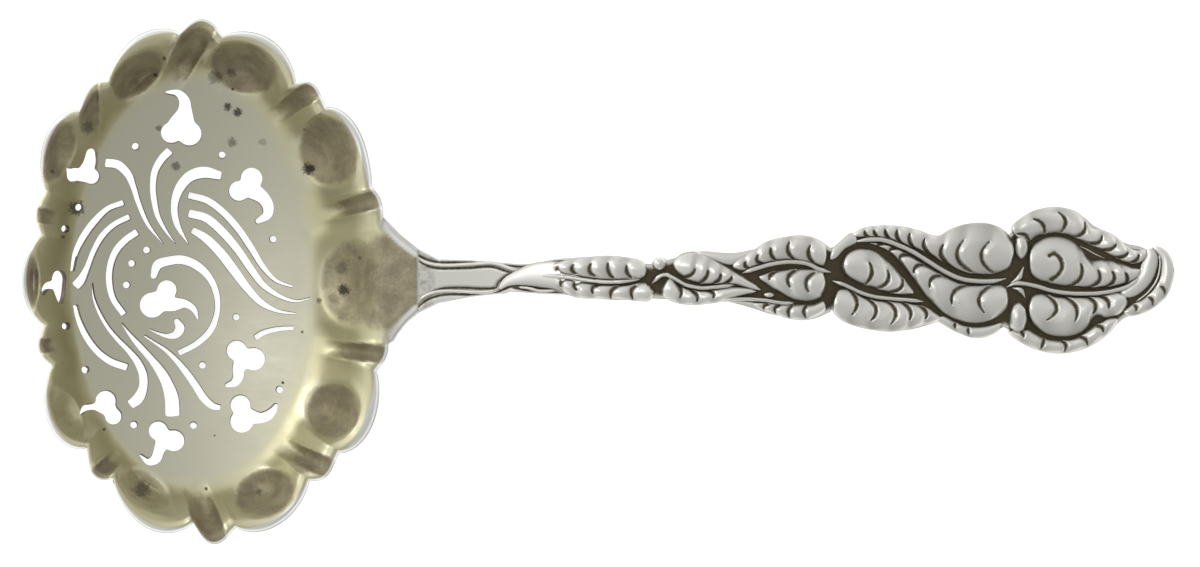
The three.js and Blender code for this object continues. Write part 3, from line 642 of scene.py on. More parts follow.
@dataclass(frozen=True)
class GiltFinish:
    """Pale gilding over silver, tarnished brown in the hollows and worn bright along the lip, with its worn
    crests also lightened as a painted highlight, and painted shade along the rim's outer edge.
    """

    gilt: tuple = (0.64, 0.606, 0.40)
    worn: tuple = (0.585, 0.572, 0.455)
    silver: tuple = (0.83, 0.83, 0.81)
    brown: tuple = (0.37, 0.322, 0.23)
    outside: tuple = (0.52, 0.52, 0.505)
    # Dark colour of the pierced edges, and of the painted shade along the rim's outer edge.
    sawn: tuple = (0.15, 0.125, 0.10)
    black: tuple = (0.07, 0.062, 0.055)
    roughness: float = 0.46
    spots: tuple[Spot, ...] = (
        Spot((237.0, 112.0), 0.75, 0.85), Spot((227.0, 106.5), 0.7, 0.85),
        Spot((231.5, 142.0), 0.8, 0.55), Spot((174.5, 166.0), 0.75, 0.6),
        Spot((308.0, 169.0), 1.05, 0.85), Spot((343.5, 290.0), 1.0, 0.8), Spot((341.0, 268.0), 1.1, 0.4),
        Spot((76.0, 208.0), 1.3, 0.75), Spot((89.0, 128.0), 1.1, 0.6), Spot((214.5, 77.0), 1.2, 0.55),
        Spot((231.0, 72.0), 0.8, 0.4), Spot((142.5, 489.0), 1.35, 0.6), Spot((282.0, 383.0), 0.24, 0.9),
        Spot((301.5, 332.0), 0.25, 0.8), Spot((214.0, 41.0), 0.4, 0.8), Spot((164.5, 59.0), 0.35, 0.8),
        Spot((155.0, 75.0), 0.35, 0.8), Spot((304.0, 129.5), 0.25, 0.6), Spot((158.0, 128.0), 0.5, 0.55),
        Spot((262.0, 142.0), 0.7, 0.3), Spot((206.0, 489.0), 0.3, 0.8), Spot((104.0, 429.5), 0.26, 0.8),
        Spot((259.0, 492.0), 0.5, 0.4), Spot((232.0, 89.0), 0.25, 0.8), Spot((214.0, 436.0), 0.2, 0.7),
        Spot((63.0, 237.0), 0.35, 0.7), Spot((54.0, 172.0), 0.4, 0.5), Spot((333.0, 298.0), 0.9, 0.3),
        Spot((318.5, 300.5), 0.5, 0.6), Spot((360.0, 258.0), 0.35, 0.5),
    )

    def material(self, effects: SharedEffects) -> bpy.types.Material:
        """Builds the material.

        Args:
            effects: the shared node groups.

        Returns:
            The material.
        """
        desk = MetalDesk("gilt_silver_tarnished")
        place, hollow, crest = desk.place(), desk.mark("hollow"), desk.mark("crest")
        wear = effects.use(desk, effects.mottle, Mask=desk.mark("floor"), Scale=260.0, Patchiness=0.35)
        stain = effects.use(desk, effects.mottle, Mask=hollow, Scale=520.0, Patchiness=0.45).outputs[0]
        patch = desk.ramp(desk.noise(place, 420.0, 5.0), 0.34, 0.66, 0.62, 1.0)
        grain = desk.ramp(desk.noise(place, 4600.0, 2.0), 0.5, 0.78, 0.0, 0.34)
        pins = effects.use(desk, effects.specks, Scale=900.0, Size=0.16, Share=0.22)
        pinned = desk.times(pins.outputs[0], desk.ramp(hollow, 0.2, 0.7, 0.12, 0.7))
        dark = desk.math("MAXIMUM", self.spot_mask(desk, place), pinned)
        # The crests are worn through the gilding to silver, and the same silver also stands there as a
        # painted highlight.
        rubbed = effects.use(desk, effects.mottle, Mask=crest, Scale=700.0, Patchiness=0.5)
        base: object = self.gilt
        for share, colour in (
            (wear.outputs[0], self.worn),
            (desk.times(stain, patch), self.brown),
            (desk.times(grain, stain), self.black),
            (dark, self.black),
            # Silver on the worn crests, which is also a painted highlight.
            (desk.times(rubbed.outputs[0], 0.3), self.silver),
            (desk.math("SUBTRACT", 1.0, desk.mark("gilding"), clamp=True), self.outside),
            (desk.mark("lip"), self.silver),
            # Darker pierced edges, and painted shade along the rim's outer edge.
            (desk.mark("sawn"), self.sawn),
        ):
            base = desk.blend(share, base, colour)
        rub = effects.use(desk, effects.polish, Scale=2300.0, Roughness=self.roughness, Spread=0.16)
        rough = desk.math("ADD", rub.outputs["Roughness"], desk.times(stain, 0.26))
        rough = desk.math("ADD", rough, desk.times(dark, 0.25), clamp=True)
        rough = desk.math("SUBTRACT", rough, desk.times(crest, 0.2), clamp=True)
        return desk.finish(base, rough, rub.outputs["Height"], 0.12)

    def spot_mask(self, desk: NodeDesk, place: bpy.types.NodeSocket) -> bpy.types.NodeSocket:
        """Builds the mask of the tarnish spots.

        Args:
            desk: the material's desk.
            place: the socket of the place on the bowl.

        Returns:
            The mask's socket.
        """
        ragged = desk.times(desk.math("SUBTRACT", desk.noise(place, 3300.0, 5.0), 0.5), 1.4)
        flat = desk.node("ShaderNodeVectorMath", {0: place, 1: (1.0, 1.0, 0.0)}, operation="MULTIPLY")
        total: float | bpy.types.NodeSocket = 0.0
        for spot in self.spots:
            x, y = PHOTO.place([spot.at])[0] * METRES
            ends = {0: flat.outputs[0], 1: (x, y, 0.0)}
            gap = desk.node("ShaderNodeVectorMath", ends, operation="DISTANCE").outputs["Value"]
            uneven = desk.math("ADD", desk.times(gap, 1.0 / (spot.radius * METRES)), ragged)
            total = desk.math("MAXIMUM", total, desk.ramp(uneven, 0.95, 0.4, 0.0, spot.dark))
        return total


@dataclass(frozen=True)
class StruckFinish:
    """Bright silver that is blackened in the recesses of its relief, with painted shade at the feet of its
    leaves and on the lower sides of its wires and buds, and its leaves' polished middles lighter, which
    also stands as painted light.
    """

    silver: tuple = (0.42, 0.41, 0.375)
    # Colour of the polished high spots, which also stands as painted light on the leaves' middles.
    rubbed: tuple = (0.86, 0.846, 0.795)
    satin: tuple = (0.555, 0.55, 0.508)
    # Black of the oxide in the sunk ground and grooves, also used for painted shade.
    black: tuple = (0.13, 0.108, 0.068)
    roughness: float = 0.35

    def material(self, effects: SharedEffects) -> bpy.types.Material:
        """Builds the material.

        Args:
            effects: the shared node groups.

        Returns:
            The material.
        """
        desk = MetalDesk("struck_silver_blackened")
        # The dark mask is oxide in the sunk ground and grooves, and painted shade at the feet of the leaves
        # and on the lower sides of the wires and buds.
        stain = effects.use(desk, effects.mottle, Mask=desk.mark("recess"), Scale=1900.0, Patchiness=0.42)
        pins = effects.use(desk, effects.specks, Scale=700.0, Size=0.16, Share=0.3)
        dark = desk.math("MAXIMUM", stain.outputs[0], desk.times(pins.outputs[0], 0.45))
        # The leaves' middles and scale tops are polished lighter, which also stands as painted light.
        base = desk.blend(desk.mark("rubbed"), self.silver, self.rubbed)
        base = desk.blend(dark, desk.blend(desk.mark("satin"), base, self.satin), self.black)
        rub = effects.use(desk, effects.polish, Scale=2700.0, Roughness=self.roughness, Spread=0.12)
        rough = desk.math("ADD", rub.outputs["Roughness"], desk.times(dark, 0.4), clamp=True)
        return desk.finish(base, rough, rub.outputs["Height"], 0.1)


@dataclass(frozen=True)
class SolderFinish:
    """Dull grey hard solder with small pits."""

    grey: tuple = (0.46, 0.455, 0.43)
    pit: tuple = (0.16, 0.15, 0.14)
    roughness: float = 0.46

    def material(self, effects: SharedEffects) -> bpy.types.Material:
        """Builds the material.

        Args:
            effects: the shared node groups.

        Returns:
            The material.
        """
        desk = MetalDesk("hard_solder_pitted")
        pins = effects.use(desk, effects.specks, Scale=5200.0, Size=0.3, Share=0.5)
        base = desk.blend(desk.times(pins.outputs[0], 0.7), self.grey, self.pit)
        rub = effects.use(desk, effects.polish, Scale=4200.0, Roughness=self.roughness, Spread=0.2)
        return desk.finish(base, rub.outputs["Roughness"], rub.outputs["Height"], 0.3, 0.00003)


# The bowl


@dataclass(frozen=True)
class Channel:
    """A narrow channel of the bowl's rim and the lobe after it.

    The turn is in degrees. The others are shares of the plain oval's reach: the crest before the
    channel, its tip, the crest after it, and the middle of the next lobe.
    """

    turn: float
    before: float
    tip: float
    after: float
    lobe: float


@dataclass(frozen=True)
class Flute:
    """A channel's run down the wall, from its mouth to its tail.

    Its ends are in pixels, its half widths and depth in millimetres, and brown is its share of tarnish.
    """

    mouth: Pixel
    tail: Pixel
    half_mouth: float
    half_tail: float
    depth: float = 0.9
    brown: float = 1.0

    def reach(self, plan: Array) -> tuple[Array, Array]:
        """Tells where plan places lie in the channel.

        Args:
            plan: rows of x and y.

        Returns:
            How far down it they are, 0 to 1, and how far out, 1 at its side.
        """
        mouth, tail = PHOTO.place([self.mouth, self.tail])
        way = tail - mouth
        size = float(np.hypot(*way))
        away = plan - mouth
        along = (away @ way) / size**2
        across = np.abs(away[:, 0] * way[1] - away[:, 1] * way[0]) / size
        half = self.half_mouth + (self.half_tail - self.half_mouth) * np.clip(along, 0.0, 1.0)
        return along, across / half


@dataclass(frozen=True)
class Scoop:
    """An oval hollow of a lobe: its middle and half sizes in pixels, its turn in degrees and its depth."""

    at: Pixel
    half: tuple[float, float]
    turn: float = 0.0
    depth: float = 1.3
    brown: float = 1.0

    def reach(self, plan: Array) -> Array:
        """Tells how far out plan places lie, 1 at the hollow's edge.

        Args:
            plan: rows of x and y.

        Returns:
            A number for each place.
        """
        away = plan - PHOTO.place([self.at])[0]
        turn = math.radians(self.turn)
        along = (away[:, 0] * math.cos(turn) + away[:, 1] * math.sin(turn)) / self.half[0]
        across = (away[:, 1] * math.cos(turn) - away[:, 0] * math.sin(turn)) / self.half[1]
        return np.hypot(along, across) / PHOTO.pixel


@dataclass(frozen=True)
class Ridge:
    """The crest beside a dent: its strength, and its place and half width in shares of the dent's reach."""

    strength: float
    at: float
    half: float

    def mask(self, out: Array) -> Array:
        """Gives the crest's mask at shares of the dent's reach."""
        return self.strength * bell(out - self.at, self.half)


@dataclass(frozen=True)
class BowlForm:
    """The form of the fluted sheet, as places for a turn round the oval and a level.

    Levels 0 to 1 run over the floor from the foot to its edge, and 1 to 2 up the wall to the lip.
    """

    rim_half_length: float = 21.6
    rim_half_width: float = 31.5
    rim_centre: float = -2.3
    rim_shift: float = 0.3
    rim_height: float = 11.6
    rim_slope: float = -0.08
    floor_half_length: float = 14.4
    floor_half_width: float = 24.8
    floor_centre: float = -4.4
    radius_along: float = 50.0
    radius_across: float = 87.0
    foot_dip: float = 0.12
    sheet: float = 0.75
    channel_half_width: float = 2.8
    crest_height: float = 0.11
    neck_half_turn: float = 13.9
    neck_margin: float = 2.0
    neck_blend: float = 6.0
    rim_growth: float = 1.6
    channel_power: float = 1.4
    lobe_power: float = 0.7
    scoop_power: float = 1.6
    scoop_stain: Fade = Fade(1.02, 0.28)
    scoop_crest: Ridge = Ridge(0.4, 1.06, 0.18)
    flute_mouth: Fade = Fade(-0.5, 0.3)
    flute_tail: Fade = Fade(1.15, 0.65)
    flute_side: Fade = Fade(1.3, 0.3)
    flute_stain: Fade = Fade(1.1, 0.3)
    flute_crest: Ridge = Ridge(0.65, 1.15, 0.22)
    dents_start: Fade = Fade(0.5, 0.3)
    neck_wall: Fade = Fade(2.0, 0.62)
    near_lip: Fade = Fade(1.68, 0.14)
    least_slope: float = 0.42
    least_level: float = 0.02
    channels: tuple[Channel, ...] = (
        Channel(16.6, 1.035, 1.065, 1.03, 1.07), Channel(51.0, 0.985, 1.005, 0.945, 1.038),
        Channel(92.2, 0.99, 1.055, 1.01, 1.068), Channel(131.8, 0.995, 1.04, 1.02, 1.115),
        Channel(164.2, 1.02, 1.045, 0.995, 1.09), Channel(195.5, 0.975, 1.03, 0.975, 1.095),
        Channel(229.3, 0.975, 1.03, 0.97, 1.055), Channel(272.2, 0.975, 1.06, 1.005, 1.062),
        Channel(312.4, 0.998, 1.05, 1.035, 1.122), Channel(344.9, 1.05, 1.09, 1.055, 1.045),
    )
    flutes: tuple[Flute, ...] = (
        Flute((203, 26), (170, 84), 1.9, 1.5), Flute((312, 91), (272, 118), 1.3, 1.15),
        Flute((380, 198), (326, 213), 1.25, 1.0), Flute((384, 354), (328, 349), 1.15, 1.0),
        Flute((327, 467), (284, 448), 1.3, 1.2), Flute((214, 541), (196, 488), 2.0, 1.5),
        Flute((99, 477), (118, 455), 1.2, 1.0, 0.7), Flute((38, 347), (58, 344), 1.0, 0.9, 0.6),
        Flute((36, 214), (58, 219), 1.0, 0.9, 0.6), Flute((92, 89), (90, 134), 1.1, 1.3, 0.7),
    )
    scoops: tuple[Scoop, ...] = (
        Scoop((244, 68), (38, 27), -18.0), Scoop((329, 151), (33, 39), 12.0),
        Scoop((351, 283), (34, 47), 0.0, 1.4, 0.7), Scoop((386, 282), (46, 54), 0.0, 0.0, 0.8),
        Scoop((333, 411), (30, 31), 0.0), Scoop((266, 493), (34, 26), 12.0),
        Scoop((146, 489), (32, 16), -36.0, 0.8, 0.5), Scoop((66, 413), (15, 31), 28.0, 0.9, 0.3),
        Scoop((33, 282), (9, 32), 0.0, 0.8, 0.8), Scoop((58, 152), (18, 36), -22.0, 0.9, 0.8),
        Scoop((138, 75), (35, 19), 42.0, 1.2, 0.9),
    )
    wall_line: tuple[tuple[float, float], ...] = (
        (0.0, 0.0), (0.2, 0.07), (0.38, 0.22), (0.55, 0.5), (0.7, 0.8), (0.82, 0.965), (0.9, 1.0),
        (0.96, 0.985), (1.0, 0.925),
    )

    def rim_line(self, turn: Array) -> tuple[Array, Array]:
        """Reads the rim's line of lobes and channels.

        Args:
            turn: places round the oval, in radians.

        Returns:
            The reach of the rim, as a share of the plain oval's, and how far into a lobe it is, 0 to 1.
        """
        rows = self.channels
        centre = np.radians([row.turn for row in rows])
        across = np.hypot(self.rim_half_length * np.sin(centre), self.rim_half_width * np.cos(centre))
        half = self.channel_half_width / across
        away = (turn[:, None] - centre + np.pi) % (2 * np.pi) - np.pi
        nearest = np.abs(away / half).argmin(1)
        part = np.take_along_axis(away / half, nearest[:, None], 1)[:, 0]
        before, tip, after, lobe = np.array([(row.before, row.tip, row.after, row.lobe) for row in rows]).T
        crest = before[nearest] + (after - before)[nearest] * (part + 1.0) / 2.0
        dip = np.clip(1.0 - part * part, 0.0, 1.0) ** self.channel_power
        channel_reach = crest + (tip[nearest] - crest) * dip
        ahead = (turn[:, None] - (centre + half)) % (2 * np.pi)
        left = ahead.argmin(1)
        right = (left + 1) % len(rows)
        span = (centre[right] - half[right] - centre[left] - half[left]) % (2 * np.pi)
        share = np.clip(ahead.min(1) / span, 0.0, 1.0)
        ridge = after[left] + (before[right] - after[left]) * share
        swell = np.sin(np.pi * share) ** self.lobe_power
        lobe_reach = ridge + (lobe[left] - ridge) * swell
        in_channel = np.abs(part) <= 1.0
        return np.where(in_channel, channel_reach, lobe_reach), np.where(in_channel, 0.0, swell)

    def dents(self, plan: Array) -> tuple[Array, Array, Array]:
        """Works out the flutes and the scoops under plan places.

        Args:
            plan: rows of x and y.

        Returns:
            The depth of the dent through the sheet, how hollow it is, 0 to 1, and the mask of its crest.
        """
        depth, hollow, crest = np.zeros((3, len(plan)))
        for scoop in self.scoops:
            out = scoop.reach(plan)
            depth = np.maximum(depth, scoop.depth * np.clip(1.0 - out**2, 0.0, 1.0) ** self.scoop_power)
            hollow = np.maximum(hollow, scoop.brown * self.scoop_stain.down(out))
            if scoop.depth > 0:
                crest = np.maximum(crest, self.scoop_crest.mask(out))
        for flute in self.flutes:
            along, out = flute.reach(plan)
            near = self.flute_tail.down(along) * self.flute_mouth.up(along)
            here = self.flute_side.down(out) * near
            depth = depth * (1.0 - here) + flute.depth * np.clip(1.0 - out**2, 0.0, 1.0) * here
            hollow = hollow * (1.0 - here) + flute.brown * self.flute_stain.down(out) * here
            crest = np.maximum(crest * (1.0 - here), self.flute_crest.mask(out) * near)
        return depth - self.crest_height * crest, hollow, crest

    def neckness(self, turn: Array) -> Array:
        """Tells how far a turn lies in the neck lobe, 0 to 1."""
        away = np.degrees(np.abs((turn + np.pi) % (2 * np.pi) - np.pi))
        return smooth_step((self.neck_half_turn + self.neck_margin - away) / self.neck_blend)

    def plain(self, turn: Array, level: Array, reach: Array) -> Array:
        """Gives places on the form without its dents.

        Args:
            turn: places round the oval, in radians.
            level: levels, 0 to 2.
            reach: the rim's reach at each place.

        Returns:
            Rows of x, y and z.
        """
        part = np.minimum(level, 1.0)
        x = part * (self.floor_centre + self.floor_half_length * np.cos(turn))
        y = part * self.floor_half_width * np.sin(turn)
        z = x * x / (2 * self.radius_along) + y * y / (2 * self.radius_across)
        z = z + self.sheet - self.foot_dip
        wall = np.clip(level - 1.0, 0.0, 1.0)
        line = np.array(self.wall_line)
        out, up = eased_line(np.linspace(0.0, 1.0, len(line)), line, wall).T
        up = up + (smooth_step(out) - up) * self.neckness(turn)
        grown = 1.0 + (reach - 1.0) * smooth_step(self.rim_growth * wall)
        rim_x = self.rim_centre + self.rim_shift + grown * self.rim_half_length * np.cos(turn)
        rim_y = grown * self.rim_half_width * np.sin(turn)
        rim_z = self.rim_height + self.rim_slope * rim_x
        return np.stack([x + (rim_x - x) * out, y + (rim_y - y) * out, z + (rim_z - z) * up], 1)

    def outward(self, turn: Array, level: Array) -> Array:
        """Gives the direction through the plain sheet, from its inner face to its outer one.

        Args:
            turn: places round the oval, in radians.
            level: levels, 0 to 2.

        Returns:
            Rows of unit vectors.
        """
        small = 1e-3
        level = np.maximum(level, self.least_level)
        one = np.ones_like(turn)
        along = self.plain(turn + small, level, one) - self.plain(turn - small, level, one)
        above = self.plain(turn, np.minimum(level + small, 2.0), one)
        return unit_rows(np.cross(along, above - self.plain(turn, level - small, one)))

    def place(self, turn: Array, level: Array) -> Array:
        """Gives places on the inner face, lobes and channels included.

        Args:
            turn: places round the oval, in radians.
            level: levels, 0 to 2.

        Returns:
            Rows of x, y and z.
        """
        places = self.plain(turn, level, self.rim_line(turn)[0])
        depth, _, _ = self.dents(places[:, :2])
        slope = np.maximum(-self.outward(turn, level)[:, 2], self.least_slope)
        slope = slope + (1.0 - slope) * self.near_lip.up(level)
        fade = 1.0 - self.neckness(turn) * (1.0 - self.neck_wall.down(level))
        places[:, 2] -= depth / slope * fade * self.dents_start.up(level)
        return places

    def facing(self, turn: Array, level: Array) -> Array:
        """Gives the direction that the inner face looks in, dents included.

        Args:
            turn: places round the oval, in radians.
            level: levels, 0 to 2.

        Returns:
            Rows of unit vectors.
        """
        small = 2e-3
        level = np.maximum(level, self.least_level)
        along = self.place(turn + small, level) - self.place(turn - small, level)
        rise = self.place(turn, np.minimum(level + small, 2.0)) - self.place(turn, level - small)
        return unit_rows(np.cross(rise, along))

    def find(self, plan: Array, turn: Array, level: Array) -> tuple[Array, Array]:
        """Finds the turn and level under plan places.

        Args:
            plan: rows of x and y.
            turn: first guesses of the turns.
            level: first guesses of the levels.

        Returns:
            The turns and the levels.
        """
        step, longest, rounds = 1e-4, 0.1, 12
        for _ in range(rounds):
            here = self.place(turn, level)[:, :2]
            by_turn = (self.place(turn + step, level)[:, :2] - here) / step
            by_level = (self.place(turn, level + step)[:, :2] - here) / step
            miss = plan - here
            area = by_turn[:, 0] * by_level[:, 1] - by_turn[:, 1] * by_level[:, 0]
            area = np.where(np.abs(area) < 1e-6, 1e-6, area)
            move_turn = (miss[:, 0] * by_level[:, 1] - miss[:, 1] * by_level[:, 0]) / area
            move_level = (by_turn[:, 0] * miss[:, 1] - by_turn[:, 1] * miss[:, 0]) / area
            turn = turn + np.clip(move_turn, -longest, longest)
            level = np.clip(level + np.clip(move_level, -longest, longest), 1e-3, 2.0)
        return turn, level


class End(Enum):
    """How a saw cut ends."""

    SQUARE = "square"
    ROUND = "round"


@dataclass(frozen=True)
class SawCut:
    """A cut through the floor: points of share along, share across and width in millimetres."""

    points: tuple[tuple[float, float, float], ...]
    start: End = End.SQUARE
    finish: End = End.SQUARE


@dataclass(frozen=True)
class Clover:
    """A clover-leaf hole: round lobes with their radius, and the curled stems that run out of them."""

    lobes: tuple[tuple[float, float, float], ...]
    stems: tuple[tuple[tuple[float, float, float], ...], ...]


@dataclass(frozen=True)
class Piercing:
    """The pattern pierced in the floor, in shares of the rim's half length and half width."""

    form: BowlForm
    spacing: float = 0.15
    dot_radius: float = 0.5
    reach: ClassVar[dict[End, float]] = {End.SQUARE: 0.4, End.ROUND: 1.0}
    cap_points: int = 9
    stem_points: int = 40
    clover_margin: float = 2.4
    cell: float = 0.08
    melting: float = 0.09
    cuts: tuple[SawCut, ...] = (
        SawCut(((-0.59, 0.475, 1.2), (-0.524, 0.468, 1.2), (-0.465, 0.429, 1.08), (-0.435, 0.379, 0.85),
            (-0.406, 0.315, 0.75), (-0.353, 0.23, 0.6), (-0.265, 0.151, 0.2))),
        SawCut(((-0.226, 0.522, 1.15), (-0.271, 0.49, 1.1), (-0.309, 0.442, 1.0), (-0.321, 0.383, 0.9),
            (-0.315, 0.327, 0.88), (-0.294, 0.262, 0.75), (-0.247, 0.202, 0.5), (-0.191, 0.151, 0.2))),
        SawCut(((0.071, 0.425, 1.2), (-0.024, 0.438, 1.6), (-0.106, 0.421, 1.5), (-0.168, 0.371, 1.32),
            (-0.197, 0.302, 1.02), (-0.182, 0.23, 0.88), (-0.118, 0.151, 0.25))),
        SawCut(((-0.109, 0.345, 0.95), (-0.006, 0.325, 1.0), (0.088, 0.278, 1.0), (0.182, 0.206, 1.0),
            (0.259, 0.127, 0.95), (0.324, 0.056, 0.82), (0.4, 0.002, 0.58), (0.497, -0.023, 0.38))),
        SawCut(((-0.106, 0.272, 1.15), (-0.012, 0.254, 1.2), (0.076, 0.204, 1.2), (0.171, 0.129, 1.12),
            (0.25, 0.05, 1.06), (0.324, -0.016, 0.9), (0.424, -0.062, 0.64), (0.518, -0.081, 0.44),
            (0.603, -0.069, 0.25))),
        SawCut(((-0.088, 0.204, 0.95), (-0.018, 0.175, 1.2), (0.071, 0.115, 1.32), (0.153, 0.042, 1.32),
            (0.229, -0.028, 1.14), (0.312, -0.087, 0.95), (0.412, -0.121, 0.58), (0.518, -0.132, 0.32))),
        SawCut(((0.279, -0.228, 0.85), (0.329, -0.208, 0.8), (0.412, -0.194, 0.7), (0.5, -0.19, 0.62))),
        SawCut(((-0.318, 0.022, 0.95), (-0.294, 0.065, 1.32), (-0.229, 0.081, 1.25),
            (-0.147, 0.085, 1.25), (-0.065, 0.062, 1.2), (0.009, 0.012, 1.0), (0.05, -0.056, 0.88),
            (0.053, -0.125, 0.82), (0.015, -0.198, 0.94), (-0.065, -0.252, 0.88), (-0.168, -0.29, 0.82)),
            start=End.ROUND),
        SawCut(((-0.344, -0.195, 0.25), (-0.288, -0.212, 0.45), (-0.232, -0.222, 0.75),
            (-0.185, -0.214, 1.15), (-0.165, -0.19, 1.35), (-0.182, -0.163, 0.85)), finish=End.ROUND),
        SawCut(((-0.497, 0.315, 0.82), (-0.582, 0.292, 0.82), (-0.659, 0.242, 1.0), (-0.724, 0.181, 1.0),
            (-0.771, 0.113, 0.82), (-0.792, 0.042, 0.56))),
        SawCut(((-0.462, 0.258, 0.82), (-0.547, 0.228, 0.82), (-0.618, 0.181, 0.88),
            (-0.668, 0.119, 0.82), (-0.706, 0.052, 0.88), (-0.744, 0.0, 1.25), (-0.768, -0.018, 1.25))),
        SawCut(((-0.418, 0.196, 1.0), (-0.482, 0.165, 1.0), (-0.538, 0.121, 1.0), (-0.571, 0.06, 0.95),
            (-0.576, -0.008, 0.95), (-0.553, -0.073, 0.88), (-0.494, -0.132, 0.88))),
        SawCut(((-0.676, -0.008, 0.2), (-0.668, -0.065, 0.4), (-0.635, -0.127, 0.56),
            (-0.582, -0.19, 0.62), (-0.521, -0.24, 0.7), (-0.459, -0.284, 0.82), (-0.409, -0.329, 1.06),
            (-0.379, -0.379, 1.2), (-0.379, -0.431, 1.25), (-0.406, -0.472, 1.5), (-0.447, -0.496, 1.3))),
        SawCut(((-0.774, -0.099, 0.62), (-0.759, -0.145, 0.75), (-0.729, -0.198, 0.88),
            (-0.685, -0.25, 0.95), (-0.632, -0.292, 0.95), (-0.565, -0.325, 1.0), (-0.476, -0.347, 1.0))),
        SawCut(((-0.506, -0.169, 0.2), (-0.459, -0.214, 0.56), (-0.4, -0.262, 0.88), (-0.338, -0.31, 1.0),
            (-0.279, -0.363, 1.32), (-0.238, -0.415, 1.56), (-0.212, -0.472, 1.88),
            (-0.206, -0.536, 1.94))),
        SawCut(((-0.371, -0.222, 0.35), (-0.309, -0.25, 0.45), (-0.244, -0.281, 0.62),
            (-0.179, -0.325, 0.82), (-0.121, -0.374, 1.0), (-0.071, -0.423, 1.06), (-0.024, -0.472, 1.12),
            (0.029, -0.504, 1.0), (0.071, -0.51, 0.75))),
    )
    clovers: tuple[Clover, ...] = (
        Clover(
            ((-0.326, -0.097, 1.65), (-0.241, -0.036, 1.3)),
            (((-0.29, -0.08, 2.6), (-0.206, -0.093, 1.9), (-0.135, -0.091, 1.15), (-0.085, -0.113, 0.9),
             (-0.061, -0.151, 0.4)),),
        ),
        Clover(
            ((-0.212, 0.597, 1.37), (-0.106, 0.593, 1.57)),
            (((-0.235, 0.76, 0.5), (-0.171, 0.756, 1.0), (-0.135, 0.726, 1.45), (-0.132, 0.685, 1.9),
             (-0.153, 0.62, 3.6)),),
        ),
        Clover(
            ((-0.676, 0.421, 1.02), (-0.771, 0.425, 0.95)),
            (((-0.676, 0.512, 1.4), (-0.688, 0.468, 1.8), (-0.72, 0.428, 2.0)), ((-0.812, 0.45, 0.35),
             (-0.785, 0.42, 1.2))),
        ),
        Clover(
            ((0.256, 0.413, 1.44), (0.182, 0.363, 1.33)),
            (((0.235, 0.375, 2.4), (0.324, 0.335, 1.75), (0.353, 0.298, 1.56), (0.347, 0.266, 1.3),
             (0.294, 0.242, 0.85)),),
        ),
        Clover(
            ((-0.865, 0.008, 0.83),),
            (((-0.865, 0.02, 1.5), (-0.865, -0.012, 1.62), (-0.859, -0.06, 1.1), (-0.856, -0.085, 0.55)),
             ((-0.872, -0.014, 1.1), (-0.926, -0.02, 0.95), (-0.944, -0.036, 0.7),
             (-0.951, -0.054, 0.3))),
        ),
        Clover(
            ((-0.594, -0.482, 1.33), (-0.55, -0.544, 1.1)),
            (((-0.575, -0.515, 2.0), (-0.665, -0.505, 0.9), (-0.709, -0.51, 0.85),
             (-0.736, -0.535, 0.35)),),
        ),
        Clover(
            ((-0.288, -0.603, 1.27), (-0.197, -0.643, 1.4)),
            (((-0.25, -0.63, 2.2), (-0.282, -0.681, 1.5), (-0.3, -0.714, 1.4), (-0.341, -0.728, 0.95),
             (-0.39, -0.702, 0.4)),),
        ),
        Clover(
            ((0.168, -0.28, 1.33), (0.268, -0.315, 1.5)),
            (((0.21, -0.305, 2.4), (0.179, -0.359, 1.62), (0.179, -0.383, 1.45), (0.159, -0.409, 1.2),
             (0.112, -0.421, 0.65)),),
        ),
        Clover(
            ((0.191, -0.5, 1.33), (0.2, -0.565, 1.52)),
            (((0.22, -0.54, 2.2), (0.306, -0.552, 1.5), (0.353, -0.542, 1.4), (0.382, -0.524, 1.1),
             (0.4, -0.502, 0.65)),),
        ),
    )
    dots: tuple[tuple[float, float], ...] = (
        (-0.422, 0.542), (0.084, 0.508), (-0.751, 0.296), (-0.829, 0.21), (-0.359, 0.125),
        (-0.446, 0.071), (-0.477, -0.016), (0.382, 0.169), (0.165, -0.146), (-0.032, -0.34),
        (-0.826, -0.181), (-0.715, -0.357), (-0.431, -0.579), (-0.083, -0.582), (0.421, -0.438),
    )

    def plan(self, rows: Sequence[Sequence[float]]) -> Array:
        """Turns shares of the rim into plan places.

        Args:
            rows: rows of share along, share across and a size in millimetres.

        Returns:
            Rows of x, y and the same size.
        """
        table = np.array(rows, float)
        table[:, 0] = self.form.rim_centre + table[:, 0] * self.form.rim_half_length
        table[:, 1] = table[:, 1] * self.form.rim_half_width
        return table

    def cut_outline(self, cut: SawCut) -> Array:
        """Draws the outline of a saw cut.

        Args:
            cut: the cut.

        Returns:
            Corners of the outline, in order.
        """
        rows = self.plan(cut.points)
        line = flowing_line(rows, max(int(line_length(rows[:, :2]) / self.spacing), 8))
        heading = unit_rows(np.gradient(line[:, :2], axis=0))
        side = np.stack([-heading[:, 1], heading[:, 0]], 1) * line[:, 2:3] / 2
        left, right = line[:, :2] + side, line[:, :2] - side
        finish = self.cap(line[-1], heading[-1], self.reach[cut.finish])
        start = self.cap(line[0], -heading[0], self.reach[cut.start])
        return np.concatenate([left, finish, right[::-1], start])

    def cap(self, end: Array, heading: Array, reach: float) -> Array:
        """Draws the inner points of a cut's end.

        Args:
            end: x, y and width at the end.
            heading: unit direction out of the end.
            reach: how far the end stands out, as a share of its half width.

        Returns:
            Points of the cap, from left to right.
        """
        turns = np.linspace(np.pi / 2, -np.pi / 2, self.cap_points)[1:-1]
        side = np.array([-heading[1], heading[0]])
        blunt = np.abs(np.sin(turns)) ** 0.5 * np.sign(np.sin(turns)) if reach < 1.0 else np.sin(turns)
        spread = np.cos(turns)[:, None] * heading * reach + blunt[:, None] * side
        return end[:2] + spread * end[2] / 2

